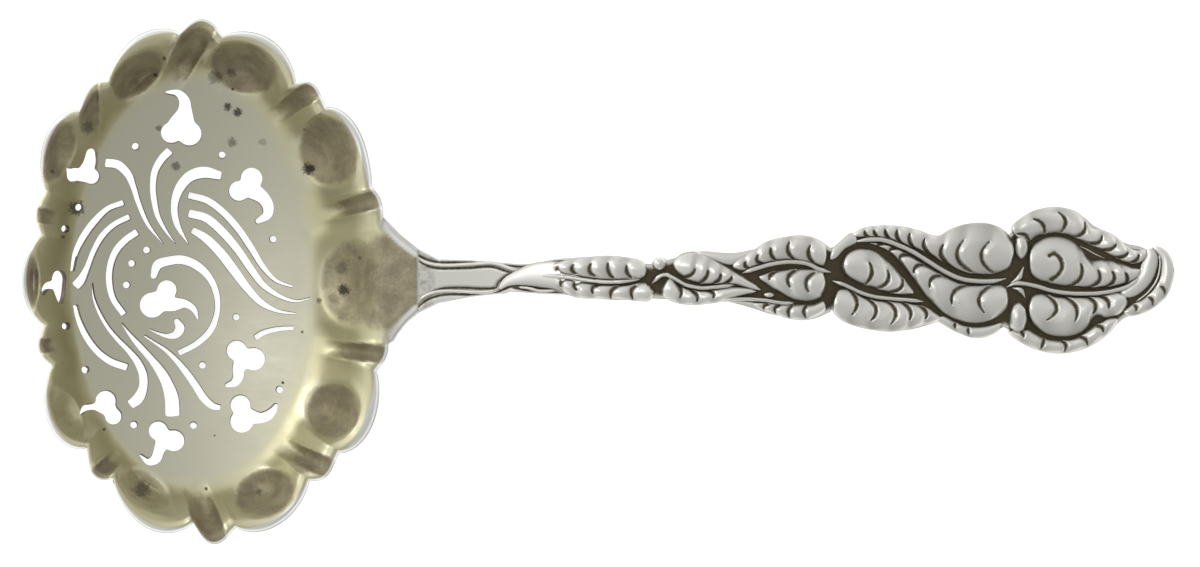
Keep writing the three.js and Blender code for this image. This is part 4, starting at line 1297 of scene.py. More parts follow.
    def clover_outline(self, clover: Clover) -> Array:
        """Draws the outline of a clover-leaf hole with its stems melted into it.

        Args:
            clover: the hole.

        Returns:
            Corners of the outline, in order.
        """
        lobes = self.plan(clover.lobes)
        stems = [flowing_line(self.plan(stem), self.stem_points) for stem in clover.stems]
        spots = np.concatenate([lobes[:, :2], *[stem[:, :2] for stem in stems]])
        low, high = spots.min(0) - self.clover_margin, spots.max(0) + self.clover_margin
        xs, ys = np.arange(low[0], high[0], self.cell), np.arange(low[1], high[1], self.cell)
        points = np.stack(np.meshgrid(xs, ys, indexing="ij"), -1).reshape(-1, 2)
        depth = self.melt(points, lobes, stems).reshape(len(xs), len(ys))
        loop = trace_outline(depth, xs, ys)
        loop = np.concatenate([loop, loop[:1]])
        even = flowing_line(loop, int(line_length(loop) / self.spacing) + 1)[:-1]
        push, least_slope, rounds = 0.01, 0.2, 3
        for _ in range(rounds):
            here = self.melt(even, lobes, stems)
            slope_x = self.melt(even + (push, 0.0), lobes, stems) - here
            slope_y = self.melt(even + (0.0, push), lobes, stems) - here
            slope = np.stack([slope_x, slope_y], 1) / push
            even = even - here[:, None] * slope / np.maximum((slope**2).sum(1, keepdims=True), least_slope)
        return even

    def melt(self, points: Array, lobes: Array, stems: Sequence[Array]) -> Array:
        """Measures how far points lie outside a clover's lobes and stems, which melt together.

        Args:
            points: plan points.
            lobes: rows of x, y and radius.
            stems: lines of x, y and width.

        Returns:
            The distance of each point, negative inside.
        """
        gaps = [np.linalg.norm(points - lobe[:2], axis=1) - lobe[2] for lobe in lobes]
        for stem in stems:
            away = np.linalg.norm(points[:, None, :] - stem[None, :, :2], axis=2)
            gaps.append((away - stem[:, 2] / 2).min(1))
        stacked = -np.stack(gaps) / self.melting
        top = stacked.max(0)
        return -self.melting * (top + np.log(np.exp(stacked - top).sum(0)))

    def outlines(self) -> list[Array]:
        """Draws every hole's outline.

        Returns:
            Outlines that run anticlockwise.
        """
        loops = [self.cut_outline(cut) for cut in self.cuts]
        loops += [self.clover_outline(clover) for clover in self.clovers]
        turns = np.linspace(0.0, 2 * np.pi, 21)[:-1]
        ring = np.stack([np.cos(turns), np.sin(turns)], 1) * self.dot_radius
        centres = self.plan([(*dot, 0.0) for dot in self.dots])[:, :2]
        loops += [centre + ring for centre in centres]
        return [loop if signed_area(loop) > 0 else loop[::-1] for loop in loops]


def signed_area(loop: Array) -> float:
    """Gives a closed outline's area, positive where it runs anticlockwise."""
    after = np.roll(loop, -1, axis=0)
    return float((loop[:, 0] * after[:, 1] - loop[:, 1] * after[:, 0]).sum() / 2)


def trace_outline(depth: Array, xs: Array, ys: Array) -> Array:
    """Traces the longest line along which a table of depths is nought.

    A crossing of the line is named by the row and column of the table's point before it, and by 1
    where the next point lies in the next row or 0 where it lies in the next column.

    Args:
        depth: depths at each x and y.
        xs: the x of each row.
        ys: the y of each column.

    Returns:
        Points of the closed line, in order.
    """
    inside = depth < 0
    rows, columns = inside.shape
    places: dict[Crossing, Array] = {}
    for down, right in ((1, 0), (0, 1)):
        turned = inside[: rows - down, : columns - right] != inside[down:, right:]
        for i, j in zip(*np.nonzero(turned)):
            share = depth[i, j] / (depth[i, j] - depth[i + down, j + right])
            x = xs[i] + share * down * (xs[1] - xs[0])
            y = ys[j] + share * right * (ys[1] - ys[0])
            places[(i, j, down)] = np.array([x, y])
    links: dict[Crossing, list[Crossing]] = {}
    for i in range(rows - 1):
        for j in range(columns - 1):
            sides = ((i, j, 1), (i + 1, j, 0), (i, j + 1, 1), (i, j, 0))
            found = [side for side in sides if side in places]
            for first, second in zip(found[::2], found[1::2]):
                links.setdefault(first, []).append(second)
                links.setdefault(second, []).append(first)
    best: list[Crossing] = []
    seen: set[Crossing] = set()
    for start in places:
        loop: list[Crossing] = []
        ahead = [] if start in seen else [start]
        while ahead:
            here = ahead[0]
            seen.add(here)
            loop.append(here)
            ahead = [other for other in links.get(here, []) if other not in seen]
        if len(loop) > len(best):
            best = loop
    return np.array([places[key] for key in best])


@dataclass
class SifterBowl:
    """The pierced, fluted gilt bowl with the tongue that the handle is soldered to."""

    form: BowlForm = field(default_factory=BowlForm)
    finish: GiltFinish = field(default_factory=GiltFinish)
    columns: int = 640
    wall_rings: int = 44
    floor_spacing: float = 0.9
    tongue_top: float = 10.056
    tongue_end: float = 24.4
    tongue_half_width: float = 3.5
    tongue_waist: float = 0.085
    tongue_rows: int = 12
    tongue_edge: Fade = Fade(0.68, 0.35)
    clearance: float = 0.16
    arris: float = 0.08
    strip_shares: tuple[float, ...] = (0.08, 0.25, 0.5, 0.75, 0.92)
    lip_round: float = 0.42
    bulge_shares: tuple[float, float] = (0.45, 0.55)
    lip_level: float = 1.865
    lip_spread: float = 0.115
    lip_fade: float = 0.04
    # How dark the painted shade is on each row of the rim's strip, and on the inner face at the rim.
    lip_dark: tuple[float, ...] = (0.3, 0.35, 0.45, 0.45, 0.3)
    edge_dark: float = 0.62
    rim_fade: Fade = Fade(1.945, 0.05)
    rim_shares: tuple[float, float] = (0.6, 0.4)
    dents_shown: Fade = Fade(0.7, 0.3)
    floor_fade: Fade = Fade(0.88, 0.42)
    outer_stain: float = 0.25

    def rings(self) -> tuple[Array, Array]:
        """Lays out the turns and levels of the mesh's points.

        Returns:
            The turns and the levels.
        """
        turns, levels = [np.zeros(1)], [np.full(1, 1e-3)]
        form = self.form
        steps = int(form.floor_half_width / self.floor_spacing)
        for step in range(1, steps + 1):
            level = step / steps
            size = np.pi * (form.floor_half_length + form.floor_half_width) * level
            count = max(int(size / self.floor_spacing), 8)
            turns.append(even_turns(count) + (step % 2) * np.pi / count)
            levels.append(np.full(count, level))
        for step in range(1, self.wall_rings + 1):
            turns.append(even_turns(self.columns))
            levels.append(np.full(self.columns, 1 + step / self.wall_rings))
        return np.concatenate(turns), np.concatenate(levels)

    def tongue(self) -> Array:
        """Lays the tongue between the neck lobe's rim and the joint.

        Returns:
            Its rows of points from the rim outwards.
        """
        form = self.form
        away = (even_turns(self.columns) + np.pi) % (2 * np.pi) - np.pi
        turns = np.sort(away[np.abs(away) < math.radians(form.neck_half_turn)])
        count = len(turns)
        rim = form.place(turns, np.full(count, 2.0))
        end_y = self.tongue_half_width * np.linspace(-1.0, 1.0, count)
        end = np.stack([np.full(count, self.tongue_end), end_y, np.full(count, self.tongue_top)], 1)
        rows = []
        for step in range(1, self.tongue_rows + 1):
            share = step / self.tongue_rows
            row = rim * (1 - share) + end * share
            row[:, 1] *= 1 - self.tongue_waist * 4 * share * (1 - share)
            row[:, 2] = rim[:, 2] + (end[:, 2] - rim[:, 2]) * smooth_step(np.array(share))
            rows.append(row)
        return np.stack(rows)

    def clear_of(self, loops: list[Array], plan: Array) -> Array:
        """Picks the points that keep clear of the holes.

        Args:
            loops: plan outlines of the holes.
            plan: plan places of the rings' points.

        Returns:
            The numbers of the points to keep, the rim's among them.
        """
        keep = np.ones(len(plan), bool)
        for loop in loops:
            low, high = loop.min(0) - 2 * self.clearance, loop.max(0) + 2 * self.clearance
            near = np.flatnonzero(((plan > low) & (plan < high)).all(1) & keep)
            if len(near):
                closed = np.concatenate([loop, loop[:1]])
                close = distance_to_line(closed, plan[near]) < self.clearance
                keep[near[inside_outline(loop, plan[near]) | close]] = False
        keep[-self.columns :] = True
        return np.flatnonzero(keep)

    def marks(self, places: Array, turn: Array, level: Array, tongue: Array) -> dict[str, Array]:
        """Works out the marks of the inner face.

        Args:
            places: all its points, the tongue's last.
            turn: the turn of each point before the tongue's.
            level: the level of each point before the tongue's.
            tongue: the tongue's rows of points.

        Returns:
            The marks by name.
        """
        form = self.form
        none = np.zeros(len(places) - len(turn))
        _, hollow, crest = form.dents(places[:, :2])
        _, swell = form.rim_line(turn)
        off_neck = 1.0 - form.neckness(turn)
        shown = self.dents_shown.up(np.concatenate([level, none + 2.0]))
        lip = smooth_step((level - self.lip_level + self.lip_spread * swell) / self.lip_fade)
        edges = [distance_to_line(tongue[:, side, :2], places[len(turn) :, :2]) for side in (0, -1)]
        # Painted shade: a dark line along the top of the inner face at the rim, off the neck.
        base, rise = self.rim_shares
        rim = self.rim_fade.up(level) * (base + rise * swell) * off_neck
        return {
            "hollow": hollow * shown,
            # The crests' mark, which the finish turns silver, both as wear and as a painted highlight.
            "crest": crest * shown * np.concatenate([off_neck, none]),
            "lip": np.concatenate([lip * off_neck, self.tongue_edge.down(np.minimum(*edges))]),
            "floor": np.concatenate([1 - self.floor_fade.up(level), none]),
            # The darkening along the rim here is painted shade.
            "sawn": self.edge_dark * np.concatenate([rim, none]),
        }

    def build(self) -> bpy.types.Object:
        """Builds the bowl's mesh.

        Returns:
            The bowl.
        """
        form = self.form
        loops = Piercing(form).outlines()
        turn, level = self.rings()
        places = form.place(turn, level)
        numbers = self.clear_of(loops, places[:, :2])
        rim = np.searchsorted(numbers, np.arange(len(turn) - self.columns, len(turn)))
        edge_plan = np.concatenate(loops)
        guess = self.nearest(places[:, :2], edge_plan)
        edge_turn, edge_level = form.find(edge_plan, turn[guess], level[guess])
        edge_places = form.place(edge_turn, edge_level)
        miss = np.abs(edge_places[:, :2] - edge_plan).max()
        log.info("pierced outline: %d points, fitted to %.4f mm", len(edge_plan), miss)
        edge_places[:, :2] = edge_plan
        tongue = self.tongue()
        inner = np.concatenate([places[numbers], edge_places, tongue.reshape(-1, 3)])
        turn = np.concatenate([turn[numbers], edge_turn])
        level = np.concatenate([level[numbers], edge_level])
        down = np.tile((0.0, 0.0, -1.0), (len(inner) - len(turn), 1))
        normal = np.concatenate([form.outward(turn, level), down])
        outer = inner + normal * form.sheet
        outer[:, 2] = np.maximum(outer[:, 2], 0.0)
        starts = np.cumsum([len(loop) for loop in loops])[:-1]
        holes = np.split(len(numbers) + np.arange(len(edge_plan)), starts)
        boundary = self.boundary(rim, len(turn), tongue.shape)
        faces = self.triangles(inner[:, :2], boundary, holes, loops)
        marks = self.marks(inner, turn, level, tongue)
        draft = Draft(("hollow", "crest", "lip", "gilding", "floor", "sawn"))
        draft.add(inner, [faces], gilding=1.0, **marks)
        draft.add(outer, [faces[:, ::-1]], hollow=marks["hollow"] * self.outer_stain)
        _, swell = form.rim_line(turn)
        base, rise = self.bulge_shares
        bulge = self.lip_round * (base + rise * np.concatenate([swell, np.ones(len(down))]))[boundary]
        sheet = (inner, outer, normal)
        # The rim's rounded strip is silver, with painted shade that is darkest at its outer bulge.
        self.close_edge(draft, boundary, sheet, bulge, lip=1.0, sawn=self.lip_dark)
        for hole in holes:
            # The pierced edges are drawn darker.
            self.close_edge(draft, hole[::-1], sheet, self.arris, sawn=1.0)
        piece = draft.make("pierced_bowl")
        self.shade(piece, form.facing(turn, level), len(inner))
        log.info("pierced_bowl: %d faces", len(piece.data.polygons))
        return piece

    @staticmethod
    def shade(piece: bpy.types.Object, facing: Array, count: int) -> None:
        """Gives the sheet's faces the form's own smooth directions.

        Args:
            piece: the bowl.
            facing: the inner face's directions at its first points.
            count: how many points each face of the sheet has.
        """
        mesh = piece.data
        normals = np.empty(len(mesh.vertices) * 3, np.float32)
        mesh.vertices.foreach_get("normal", normals)
        normals = normals.reshape(-1, 3)
        normals[: len(facing)] = facing
        normals[count : count + len(facing)] = -facing
        mesh.normals_split_custom_set_from_vertices(normals.tolist())

    @staticmethod
    def nearest(points: Array, wanted: Array) -> Array:
        """Finds the nearest of some plan points for each wanted one.

        Args:
            points: plan points.
            wanted: plan points to match.

        Returns:
            The number of the nearest point for each wanted one.
        """
        found = []
        for start in range(0, len(wanted), 400):
            part = wanted[start : start + 400]
            gap = ((part[:, None, :] - points[None, :, :]) ** 2).sum(2)
            found.append(gap.argmin(1))
        return np.concatenate(found)

    @staticmethod
    def boundary(rim: Array, first: int, shape: tuple[int, ...]) -> Array:
        """Lists the sheet's outer edge anticlockwise, round the rim and the tongue.

        Args:
            rim: the numbers of the rim's points, by rising turn.
            first: the number of the tongue's first point.
            shape: the tongue's rows and columns.

        Returns:
            The numbers of the edge's points.
        """
        rows, columns = shape[:2]
        grid = first + np.arange(rows * columns).reshape(rows, columns)
        half = columns // 2
        round_rim = rim[half + 1 : len(rim) - (columns - 1 - half)]
        right, end, left = grid[:, 0], grid[-1, 1:-1], grid[::-1, -1]
        return np.concatenate([round_rim, [rim[len(rim) - half]], right, end, left, [rim[half]]])

    @staticmethod
    def triangles(plan: Array, boundary: Array, holes: list[Array], loops: list[Array]) -> Array:
        """Joins the sheet's points into triangles that keep to its outlines.

        Args:
            plan: plan places of the points.
            boundary: numbers of the outer edge's points, in order.
            holes: numbers of each hole's points, in order.
            loops: plan outlines of the holes.

        Returns:
            Three corner numbers for each triangle, anticlockwise from above.
        """
        edges = []
        for loop in (boundary, *holes):
            edges += list(zip(loop.tolist(), np.roll(loop, -1).tolist()))
        vectors = [Vector(point) for point in plan.tolist()]
        made, _, faces, origins, _, _ = delaunay_2d_cdt(vectors, edges, [], 0, 1e-7, True)
        source = np.array([origin[0] if origin else -1 for origin in origins])
        if (source < 0).any() or len(made) != len(plan):
            log.info("triangles: %d points in, %d out, %d new", len(plan), len(made), (source < 0).sum())
        corners = source[np.array([face for face in faces if len(face) == 3])]
        corners = corners[(corners >= 0).all(1)]
        middle = plan[corners].mean(1)
        inside = inside_outline(plan[boundary], middle)
        for loop in loops:
            inside &= ~inside_outline(loop, middle)
        corners = corners[inside]
        a, b, c = plan[corners[:, 0]], plan[corners[:, 1]], plan[corners[:, 2]]
        area = (b - a)[:, 0] * (c - a)[:, 1] - (b - a)[:, 1] * (c - a)[:, 0]
        corners[area < 0] = corners[area < 0][:, ::-1]
        return corners[np.abs(area) > 1e-9]

    def close_edge(
        self, draft: Draft, loop: Array, sheet: tuple[Array, Array, Array], bulge: Array, **marks: object
    ) -> None:
        """Closes the sheet along an edge with a rounded strip.

        Args:
            draft: the mesh being drawn up, which holds the inner points and then the outer ones.
            loop: numbers of the edge's points, with the sheet on the left.
            sheet: places on the inner face, places on the outer face and directions through the sheet.
            bulge: how far the strip stands out from the edge, at each of its points or at all.
            **marks: the strip's marks, one for each of its rows or one for all.
        """
        inner, outer, normal = sheet
        ahead = unit_rows(inner[np.roll(loop, -1)] - inner[np.roll(loop, 1)])
        away = -unit_rows(np.cross(normal[loop], ahead))
        rows = []
        for share in self.strip_shares:
            middle = inner[loop] * (1 - share) + outer[loop] * share
            swell = math.sin(math.pi * share) ** 0.5
            rows.append(middle - away * np.reshape(bulge, (-1, 1)) * swell)
        shape = (len(rows), len(loop))
        spread = {
            name: np.broadcast_to(np.reshape(value, (-1, 1)), shape).ravel()
            for name, value in marks.items()
        }
        start = draft.add(np.concatenate(rows), [], **spread)
        strip = start + np.arange(shape[0] * shape[1]).reshape(shape)
        table = np.concatenate([loop[None, :], strip, (loop + len(inner))[None, :]])
        after = np.roll(table, -1, axis=1)
        draft.faces.append(np.stack([table[:-1], table[1:], after[1:], after[:-1]], -1).reshape(-1, 4))

    def dress(self, effects: SharedEffects) -> bpy.types.Object:
        """Builds the bowl, gives it its finish and seats it in the frame.

        Args:
            effects: the shared node groups.

        Returns:
            The bowl.
        """
        piece = self.build()
        piece.data.materials.append(self.finish.material(effects))
        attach(piece, "root")
        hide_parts("bowl")
        return piece


# The handle


@dataclass(frozen=True)
class HandleForm:
    """The handle's side form: its sunk ground, its smooth back and the fan under the bowl's tongue."""

    start: float = 24.6
    length: float = 96.1
    neck_height: float = 10.056
    arch_height: float = 14.6
    arch_share: float = 0.34
    depth: float = 1.9
    fan_start: float = 20.0
    fan_top: float = 9.106
    fan_depth: float = 1.6

    def ground(self, x: Array) -> Array:
        """Gives the height of the sunk ground.

        Args:
            x: places along the spoon.

        Returns:
            The heights.
        """
        share = np.clip((x - self.start) / self.length, 0.0, 1.0)
        climb = np.sin(np.pi / 2 * np.minimum(share / self.arch_share, 1.0))
        climbing = self.neck_height + (self.arch_height - self.neck_height) * climb
        fall = np.clip((share - self.arch_share) / (1 - self.arch_share), 0.0, 1.0)
        drop = (1 - np.cos(np.pi * fall)) / 2
        falling = self.arch_height + (self.depth - self.arch_height) * drop
        return np.where(share < self.arch_share, climbing, falling)

    def back(self, x: Array) -> Array:
        """Gives the height of the smooth back."""
        return np.maximum(self.ground(x) - self.depth, 0.0)


@dataclass(frozen=True)
class HalfLeaf:
    """One side of a struck leaf, from its round bulb to its thin tip, in pixels.

    The spine is its line along the midrib and the edge its outer line. The arcs are the grooves
    between its scales, each through three points, and the cuts are other grooves.
    """

    bulb: Pixel
    spine: tuple[Pixel, ...]
    edge: tuple[Pixel, ...]
    tip: Pixel
    arcs: tuple[tuple[Pixel, Pixel, Pixel], ...] = ()
    cuts: tuple[tuple[Pixel, ...], ...] = ()
    rise: float = 1.0
    melt: float = 0.0


@dataclass(frozen=True)
class Wire:
    """A raised round line: its points in pixels, its radius and lift in millimetres and its taper."""

    points: tuple[Pixel, ...]
    radius: float = 0.27
    lift: float = 0.42
    taper: float = 0.08


@dataclass(frozen=True)
class Bud:
    """A round bud: its middle and its half sizes in pixels."""

    at: Pixel
    half: tuple[float, float]


LEAVES: dict[str, HalfLeaf] = {
    "first_upper": HalfLeaf(
        (647, 272), ((643, 277), (625, 278.5), (608, 279), (591, 277.5), (573, 274.5), (560, 272.5)),
        ((646, 268), (641, 262), (626, 258.5), (608, 257), (591, 258), (573, 261), (556, 264.5)),
        (548, 270.5),
        (((631, 277.5), (626.5, 271), (626.5, 266)), ((613, 278), (608, 270.5), (608, 263.5)),
         ((595, 276), (589.2, 270), (590.8, 264.2)), ((576, 273.5), (572, 269.2), (573.3, 265)),
         ((560, 271.7), (557.2, 269.2), (557.5, 267))),
        melt=1.7,
    ),
    "first_lower": HalfLeaf(
        (654, 291),
        ((645, 283.5), (630, 285.7), (612.6, 286.3), (595, 285), (578, 282.4), (560.5, 279.2)),
        ((649.5, 299.3), (638.6, 299.8), (621, 298), (602, 297.2), (584.4, 297.2), (573.5, 295.4),
         (565, 291), (556, 284)),
        (548, 279),
        (((635.8, 285.8), (631.7, 290), (632.5, 298.3)), ((616.7, 286.7), (610.8, 292.5), (610.8, 297.5)),
         ((598.3, 284.7), (592.5, 288.3), (592.8, 293.3)), ((579.2, 282.2), (574.2, 285.8), (576.7, 290)),
         ((564.2, 280), (560.8, 283.3), (561, 286))),
        melt=2.4,
    ),
    "first_curl": HalfLeaf(
        (588, 292),
        ((580, 296.5), (569, 294), (558, 289), (538.5, 285.6), (520, 284), (508, 285.2), (501, 288.5)),
        ((586, 280), (577, 264), (562, 263.2), (548, 262.6), (533.6, 264.5), (521.5, 269.2), (514, 273),
         (504.5, 279.6)),
        (498.5, 288.7), rise=0.17,
    ),
    "second_upper": HalfLeaf(
        (672.5, 266), ((676, 271), (688, 279), (703, 283), (717, 283), (732, 283), (748, 287)),
        ((673, 264), (680, 257), (692, 254), (706, 257), (719, 264), (733, 272), (748, 281)), (762, 291),
        (((685, 277.5), (691.5, 274), (694.5, 269)), ((700.5, 282.5), (706, 276.5), (707.5, 270.5)),
         ((714.5, 282.6), (718.7, 279), (720, 274.3)), ((725.3, 282.4), (729.3, 280.3), (731, 277))),
    ),
    "second_lower": HalfLeaf(
        (661, 289),
        ((669, 279), (680, 286.8), (693, 291), (708, 291.5), (721, 289.4), (734, 287.9), (746, 289)),
        ((663.6, 295.4), (673.3, 300.9), (688.5, 303.7), (703.7, 303), (717, 301), (731, 297.5),
         (746, 293.6)),
        (757, 291.5),
        (((675, 282), (681, 290), (679.5, 297.5)), ((691.5, 291), (696.5, 295.5), (696.5, 301)),
         ((709.5, 291), (713.3, 294.3), (712.7, 297.7))),
    ),
    "third_ledge": HalfLeaf(
        (757, 249.5), ((748, 256), (738, 262.5), (728, 264), (715, 260.5), (703, 256)),
        ((749, 251.5), (735, 254.3), (720, 254), (706, 252.8)), (692, 253), rise=0.5,
    ),
    "spur_ledge": HalfLeaf(
        (766, 309), ((753, 302.8), (741, 301), (730, 299.3)), ((755, 307.5), (742, 303.8), (730, 301)),
        (720, 299), rise=0.5,
    ),
    "third_upper": HalfLeaf(
        (826, 256), ((823, 265), (807, 261.5), (791, 259), (775, 260), (757, 264.3), (741, 269.6)),
        ((824.6, 246.4), (815.7, 240), (801.4, 236.6), (783.6, 238.4), (765.7, 243), (752, 252),
         (738, 260)),
        (731, 267),
        (((812, 262.5), (807.3, 253), (809.5, 245.5)), ((792.5, 259), (786.8, 249), (788.5, 242.5)),
         ((774, 259.5), (770, 253.5), (770, 248.5)), ((761, 263.5), (756, 260.5), (757, 255.5)),
         ((747, 268), (744, 265), (744.7, 262.3))),
    ),
    "third_lower": HalfLeaf(
        (825, 280), ((822, 273), (815.7, 270.5), (801.4, 269.6), (787, 270.5), (772.9, 272.3)),
        ((824.6, 287), (819.3, 296.4), (806.8, 300), (792.5, 298.2), (778, 291), (765.7, 283)),
        (757, 277),
        (((814, 272.5), (805, 283), (807.5, 292)), ((794, 270.5), (786.7, 280), (789, 287)),
         ((773, 272.5), (769, 276), (768.5, 279.5))),
    ),
    "third_spur": HalfLeaf(
        (825, 305), ((822.9, 301.8), (812, 305.4), (797.9, 305.4), (783.6, 305.4), (765.7, 303.6)),
        ((824.6, 309), (813.9, 316), (801.4, 318.8), (787, 317), (772.9, 312.5), (760.4, 308)),
        (749.6, 303),
        (((805.5, 305.5), (803, 311), (804.7, 317)), ((791, 305.5), (787.5, 311), (788.5, 316.5)),
         ((778.7, 305.4), (774, 309), (774.7, 312.4)), ((768, 304.7), (763.3, 306.5), (763, 308.5))),
    ),
    "fourth_upper": HalfLeaf(
        (1014, 254),
        ((1010, 266), (992, 273), (976, 273.2), (960, 269.6), (942.5, 260.7), (926.4, 251.8),
         (910.4, 246), (896, 240.5), (881.8, 237), (865.7, 236.3)),
        ((1014, 248), (1010, 238.4), (1003, 230.4), (992.5, 225.4), (978, 223.6), (964, 225.4),
         (949.6, 230.4), (939, 236.6), (931.8, 236.3), (919.3, 231.8), (905, 228.2), (890.7, 226.8),
         (876.4, 227), (862, 229.5)),
        (851.4, 236),
        (((992, 272.5), (981, 254), (989, 242)), ((970, 271.5), (956.5, 254), (963, 240.5)),
         ((946, 263.5), (940, 253), (942.5, 245)), ((927.5, 253), (923, 246), (924, 239)), ((912, 247),
         (908.5, 240), (909, 234)), ((899, 241.5), (896, 236), (896.5, 230.5)), ((888, 238), (885, 234),
         (884.3, 230)), ((876, 236.3), (873.7, 233.3), (873, 230.7)), ((866.5, 236), (864.3, 234),
         (864, 231.5))),
    ),
    "fourth_curl": HalfLeaf(
        (856, 237), ((855, 242), (844, 248), (835, 257)), ((851.4, 234), (840.7, 242), (831.8, 251)),
        (829, 260), rise=0.6,
    ),
    "fourth_lower": HalfLeaf(
        (1009, 297),
        ((1005, 287.5), (990.7, 285.7), (976.4, 286), (962, 284.8), (944, 276.8), (926.4, 267),
         (910.4, 257), (896, 249), (881.8, 244.6)),
        ((1006.8, 307), (994, 317.9), (976.4, 322.3), (960.4, 320), (944.3, 312.5), (931.8, 301.8),
         (921, 289.3), (910.4, 275), (899.6, 261.6), (889, 251.8), (876.4, 245.5)),
        (865.7, 243),
        (((989, 286.5), (978.5, 302), (984, 312.5)), ((964, 285.5), (951.5, 296), (951.5, 304)),
         ((940, 275.5), (930, 280), (929, 287)), ((922, 264.5), (914.5, 267.5), (913, 272.5)),
         ((907, 254.8), (900, 256.5), (898.5, 260)), ((895, 248.5), (889.7, 249.6), (888.3, 252)),
         ((881.7, 244.8), (877, 245.3), (876, 247))),
    ),
    "fifth_upper": HalfLeaf(
        (840.5, 266), ((846, 275), (858.6, 282), (872.9, 286.6), (887, 291), (901.4, 293.8)),
        ((846, 255.4), (858.6, 249.6), (872.9, 251.8), (885.4, 260.7), (897.9, 273.2), (908.6, 285.7)),
        (914, 293),
        (((865, 284), (871, 270), (868.5, 262.5)), ((878.5, 288), (887.5, 279), (887, 270.5)),
         ((891, 292), (901, 286.5), (902.5, 279.5))),
    ),
    "fifth_lower": HalfLeaf(
        (831.8, 303),
        ((837, 291), (847.9, 290), (858.6, 296.4), (872.9, 300.9), (887, 302), (901.4, 303.2),
         (915.7, 305.4), (928, 309)),
        ((832.7, 310.7), (840.7, 318.8), (855, 325), (872.9, 328.9), (890.7, 330.4), (908.6, 328),
         (922.9, 324), (935.4, 321)),
        (941, 318),
        (((849, 290.5), (856.3, 303), (851, 314.5)), ((868.5, 299.5), (875.5, 311), (870, 320.5)),
         ((887.5, 302), (895, 312), (890.5, 323.5)), ((903, 303.5), (910, 312), (909, 319.5)),
         ((921, 307), (926, 313.5), (925, 318.5))),
    ),
    "fourth_spur": HalfLeaf(
        (1002.6, 322.6), ((996, 325), (983.6, 327.7), (969, 327.7), (955, 323), (942.5, 317)),
        ((997.9, 329.5), (985.4, 335.7), (972.9, 336.6), (956.8, 331), (942.5, 323)), (936, 319),
        (((968, 327.7), (968, 331), (968.5, 334)), ((955, 323), (954.5, 325), (955, 328))), rise=0.7,
    ),
    "crown_outer_upper": HalfLeaf(
        (1012, 232),
        ((1021, 240), (1030.3, 239.7), (1037.6, 234.8), (1046, 233), (1057, 231.8), (1067.9, 233.6),
         (1077.6, 237.3), (1087.3, 242), (1097, 246.4), (1106.7, 251.2), (1116.4, 256.7), (1126, 260.9),
         (1134.5, 262.7), (1143, 260.3)),
        ((1013.3, 226.4), (1021.8, 219), (1031.5, 213), (1042.4, 209.4), (1054.5, 208), (1067.9, 209.4),
         (1078.8, 213.6), (1086, 220.3), (1093.3, 228.8), (1103, 231), (1112.7, 234.8), (1121, 241),
         (1129.7, 248), (1137, 251.2), (1145.5, 251.2)),
        (1148, 254),
        (((1029, 240), (1026, 235.5), (1018, 234)), ((1045, 233), (1043, 224), (1034, 219)),
         ((1062, 231.7), (1066, 221), (1059, 212.5)), ((1077, 237), (1085.5, 229), (1085.5, 222.5)),
         ((1091, 243.5), (1101, 241), (1103, 236)), ((1104, 250), (1113, 248.5), (1117, 244.5)),
         ((1118, 257.3), (1125, 256.3), (1129, 252.6)), ((1132.5, 262.3), (1138.3, 259), (1139.7, 255))),
    ),
    "crown_upper": HalfLeaf(
        (1029, 261),
        ((1031.5, 273.6), (1040, 279.7), (1048.5, 281.5), (1054.5, 283.3), (1064, 285), (1075, 285),
         (1084.8, 286.4), (1097, 286.4), (1109, 285.8), (1121, 284), (1131, 281), (1138, 276.7)),
        ((1031.5, 248.2), (1040, 241), (1050.9, 237.3), (1063, 237.9), (1074, 242), (1082.4, 249.4),
         (1088.5, 257.9), (1093.3, 261.5), (1103, 260.5), (1112.7, 261.5), (1123.6, 264.5),
         (1133.3, 267.6)),
        (1142, 269.5),
        (((1073.5, 285), (1082, 276), (1081.5, 264)), ((1093.5, 286.3), (1100.5, 279), (1099, 270.5)),
         ((1109.5, 285.7), (1115, 280), (1113.5, 272)), ((1128, 282.5), (1128.3, 278), (1126.5, 273))),
        (((1049.7, 255.5), (1054.5, 253.6), (1060.6, 259), (1062.4, 267.6), (1058.2, 275),
         (1052, 279.7)),),
    ),
    "crown_lower": HalfLeaf(
        (1028, 307),
        ((1032.7, 296.7), (1040, 294.5), (1048.5, 295.5), (1054.5, 297.3), (1067.9, 297.9),
         (1084.8, 297.9), (1104, 296.7), (1112.7, 294.2), (1120, 293)),
        ((1030.3, 318.5), (1037.6, 327), (1048.5, 333.6), (1063, 336), (1077.6, 333.6), (1087.3, 327),
         (1093.3, 318.5), (1097, 314.8), (1105.5, 316.7), (1116.4, 314.8), (1123.6, 310),
         (1128.5, 301.5)),
        (1126, 296),
        (((1049, 296), (1057, 309), (1047, 320)), ((1068, 298), (1077.5, 310), (1075.5, 321)),
         ((1090, 297.5), (1096.5, 306), (1094.5, 313)), ((1103, 296.7), (1109, 301.5), (1109.5, 308))),
    ),
    "crown_outer_lower": HalfLeaf(
        (1008, 331),
        ((1018, 332.4), (1027.9, 330.6), (1036.4, 334.8), (1046, 339.7), (1058.2, 341.5), (1070.3, 340.9),
         (1081.2, 337.3), (1089.7, 331.2), (1095.8, 326.4), (1103, 323.3), (1109, 319.7)),
        ((1018, 339), (1030.3, 345.8), (1042.4, 350), (1057, 352.2), (1071.5, 351.2), (1084.8, 347.6),
         (1097, 341.5), (1106.7, 334.2), (1114, 327)),
        (1119.4, 318.5),
        (((1021, 331.5), (1023, 334), (1024, 337)), ((1044.5, 339), (1043.5, 343), (1041.5, 348)),
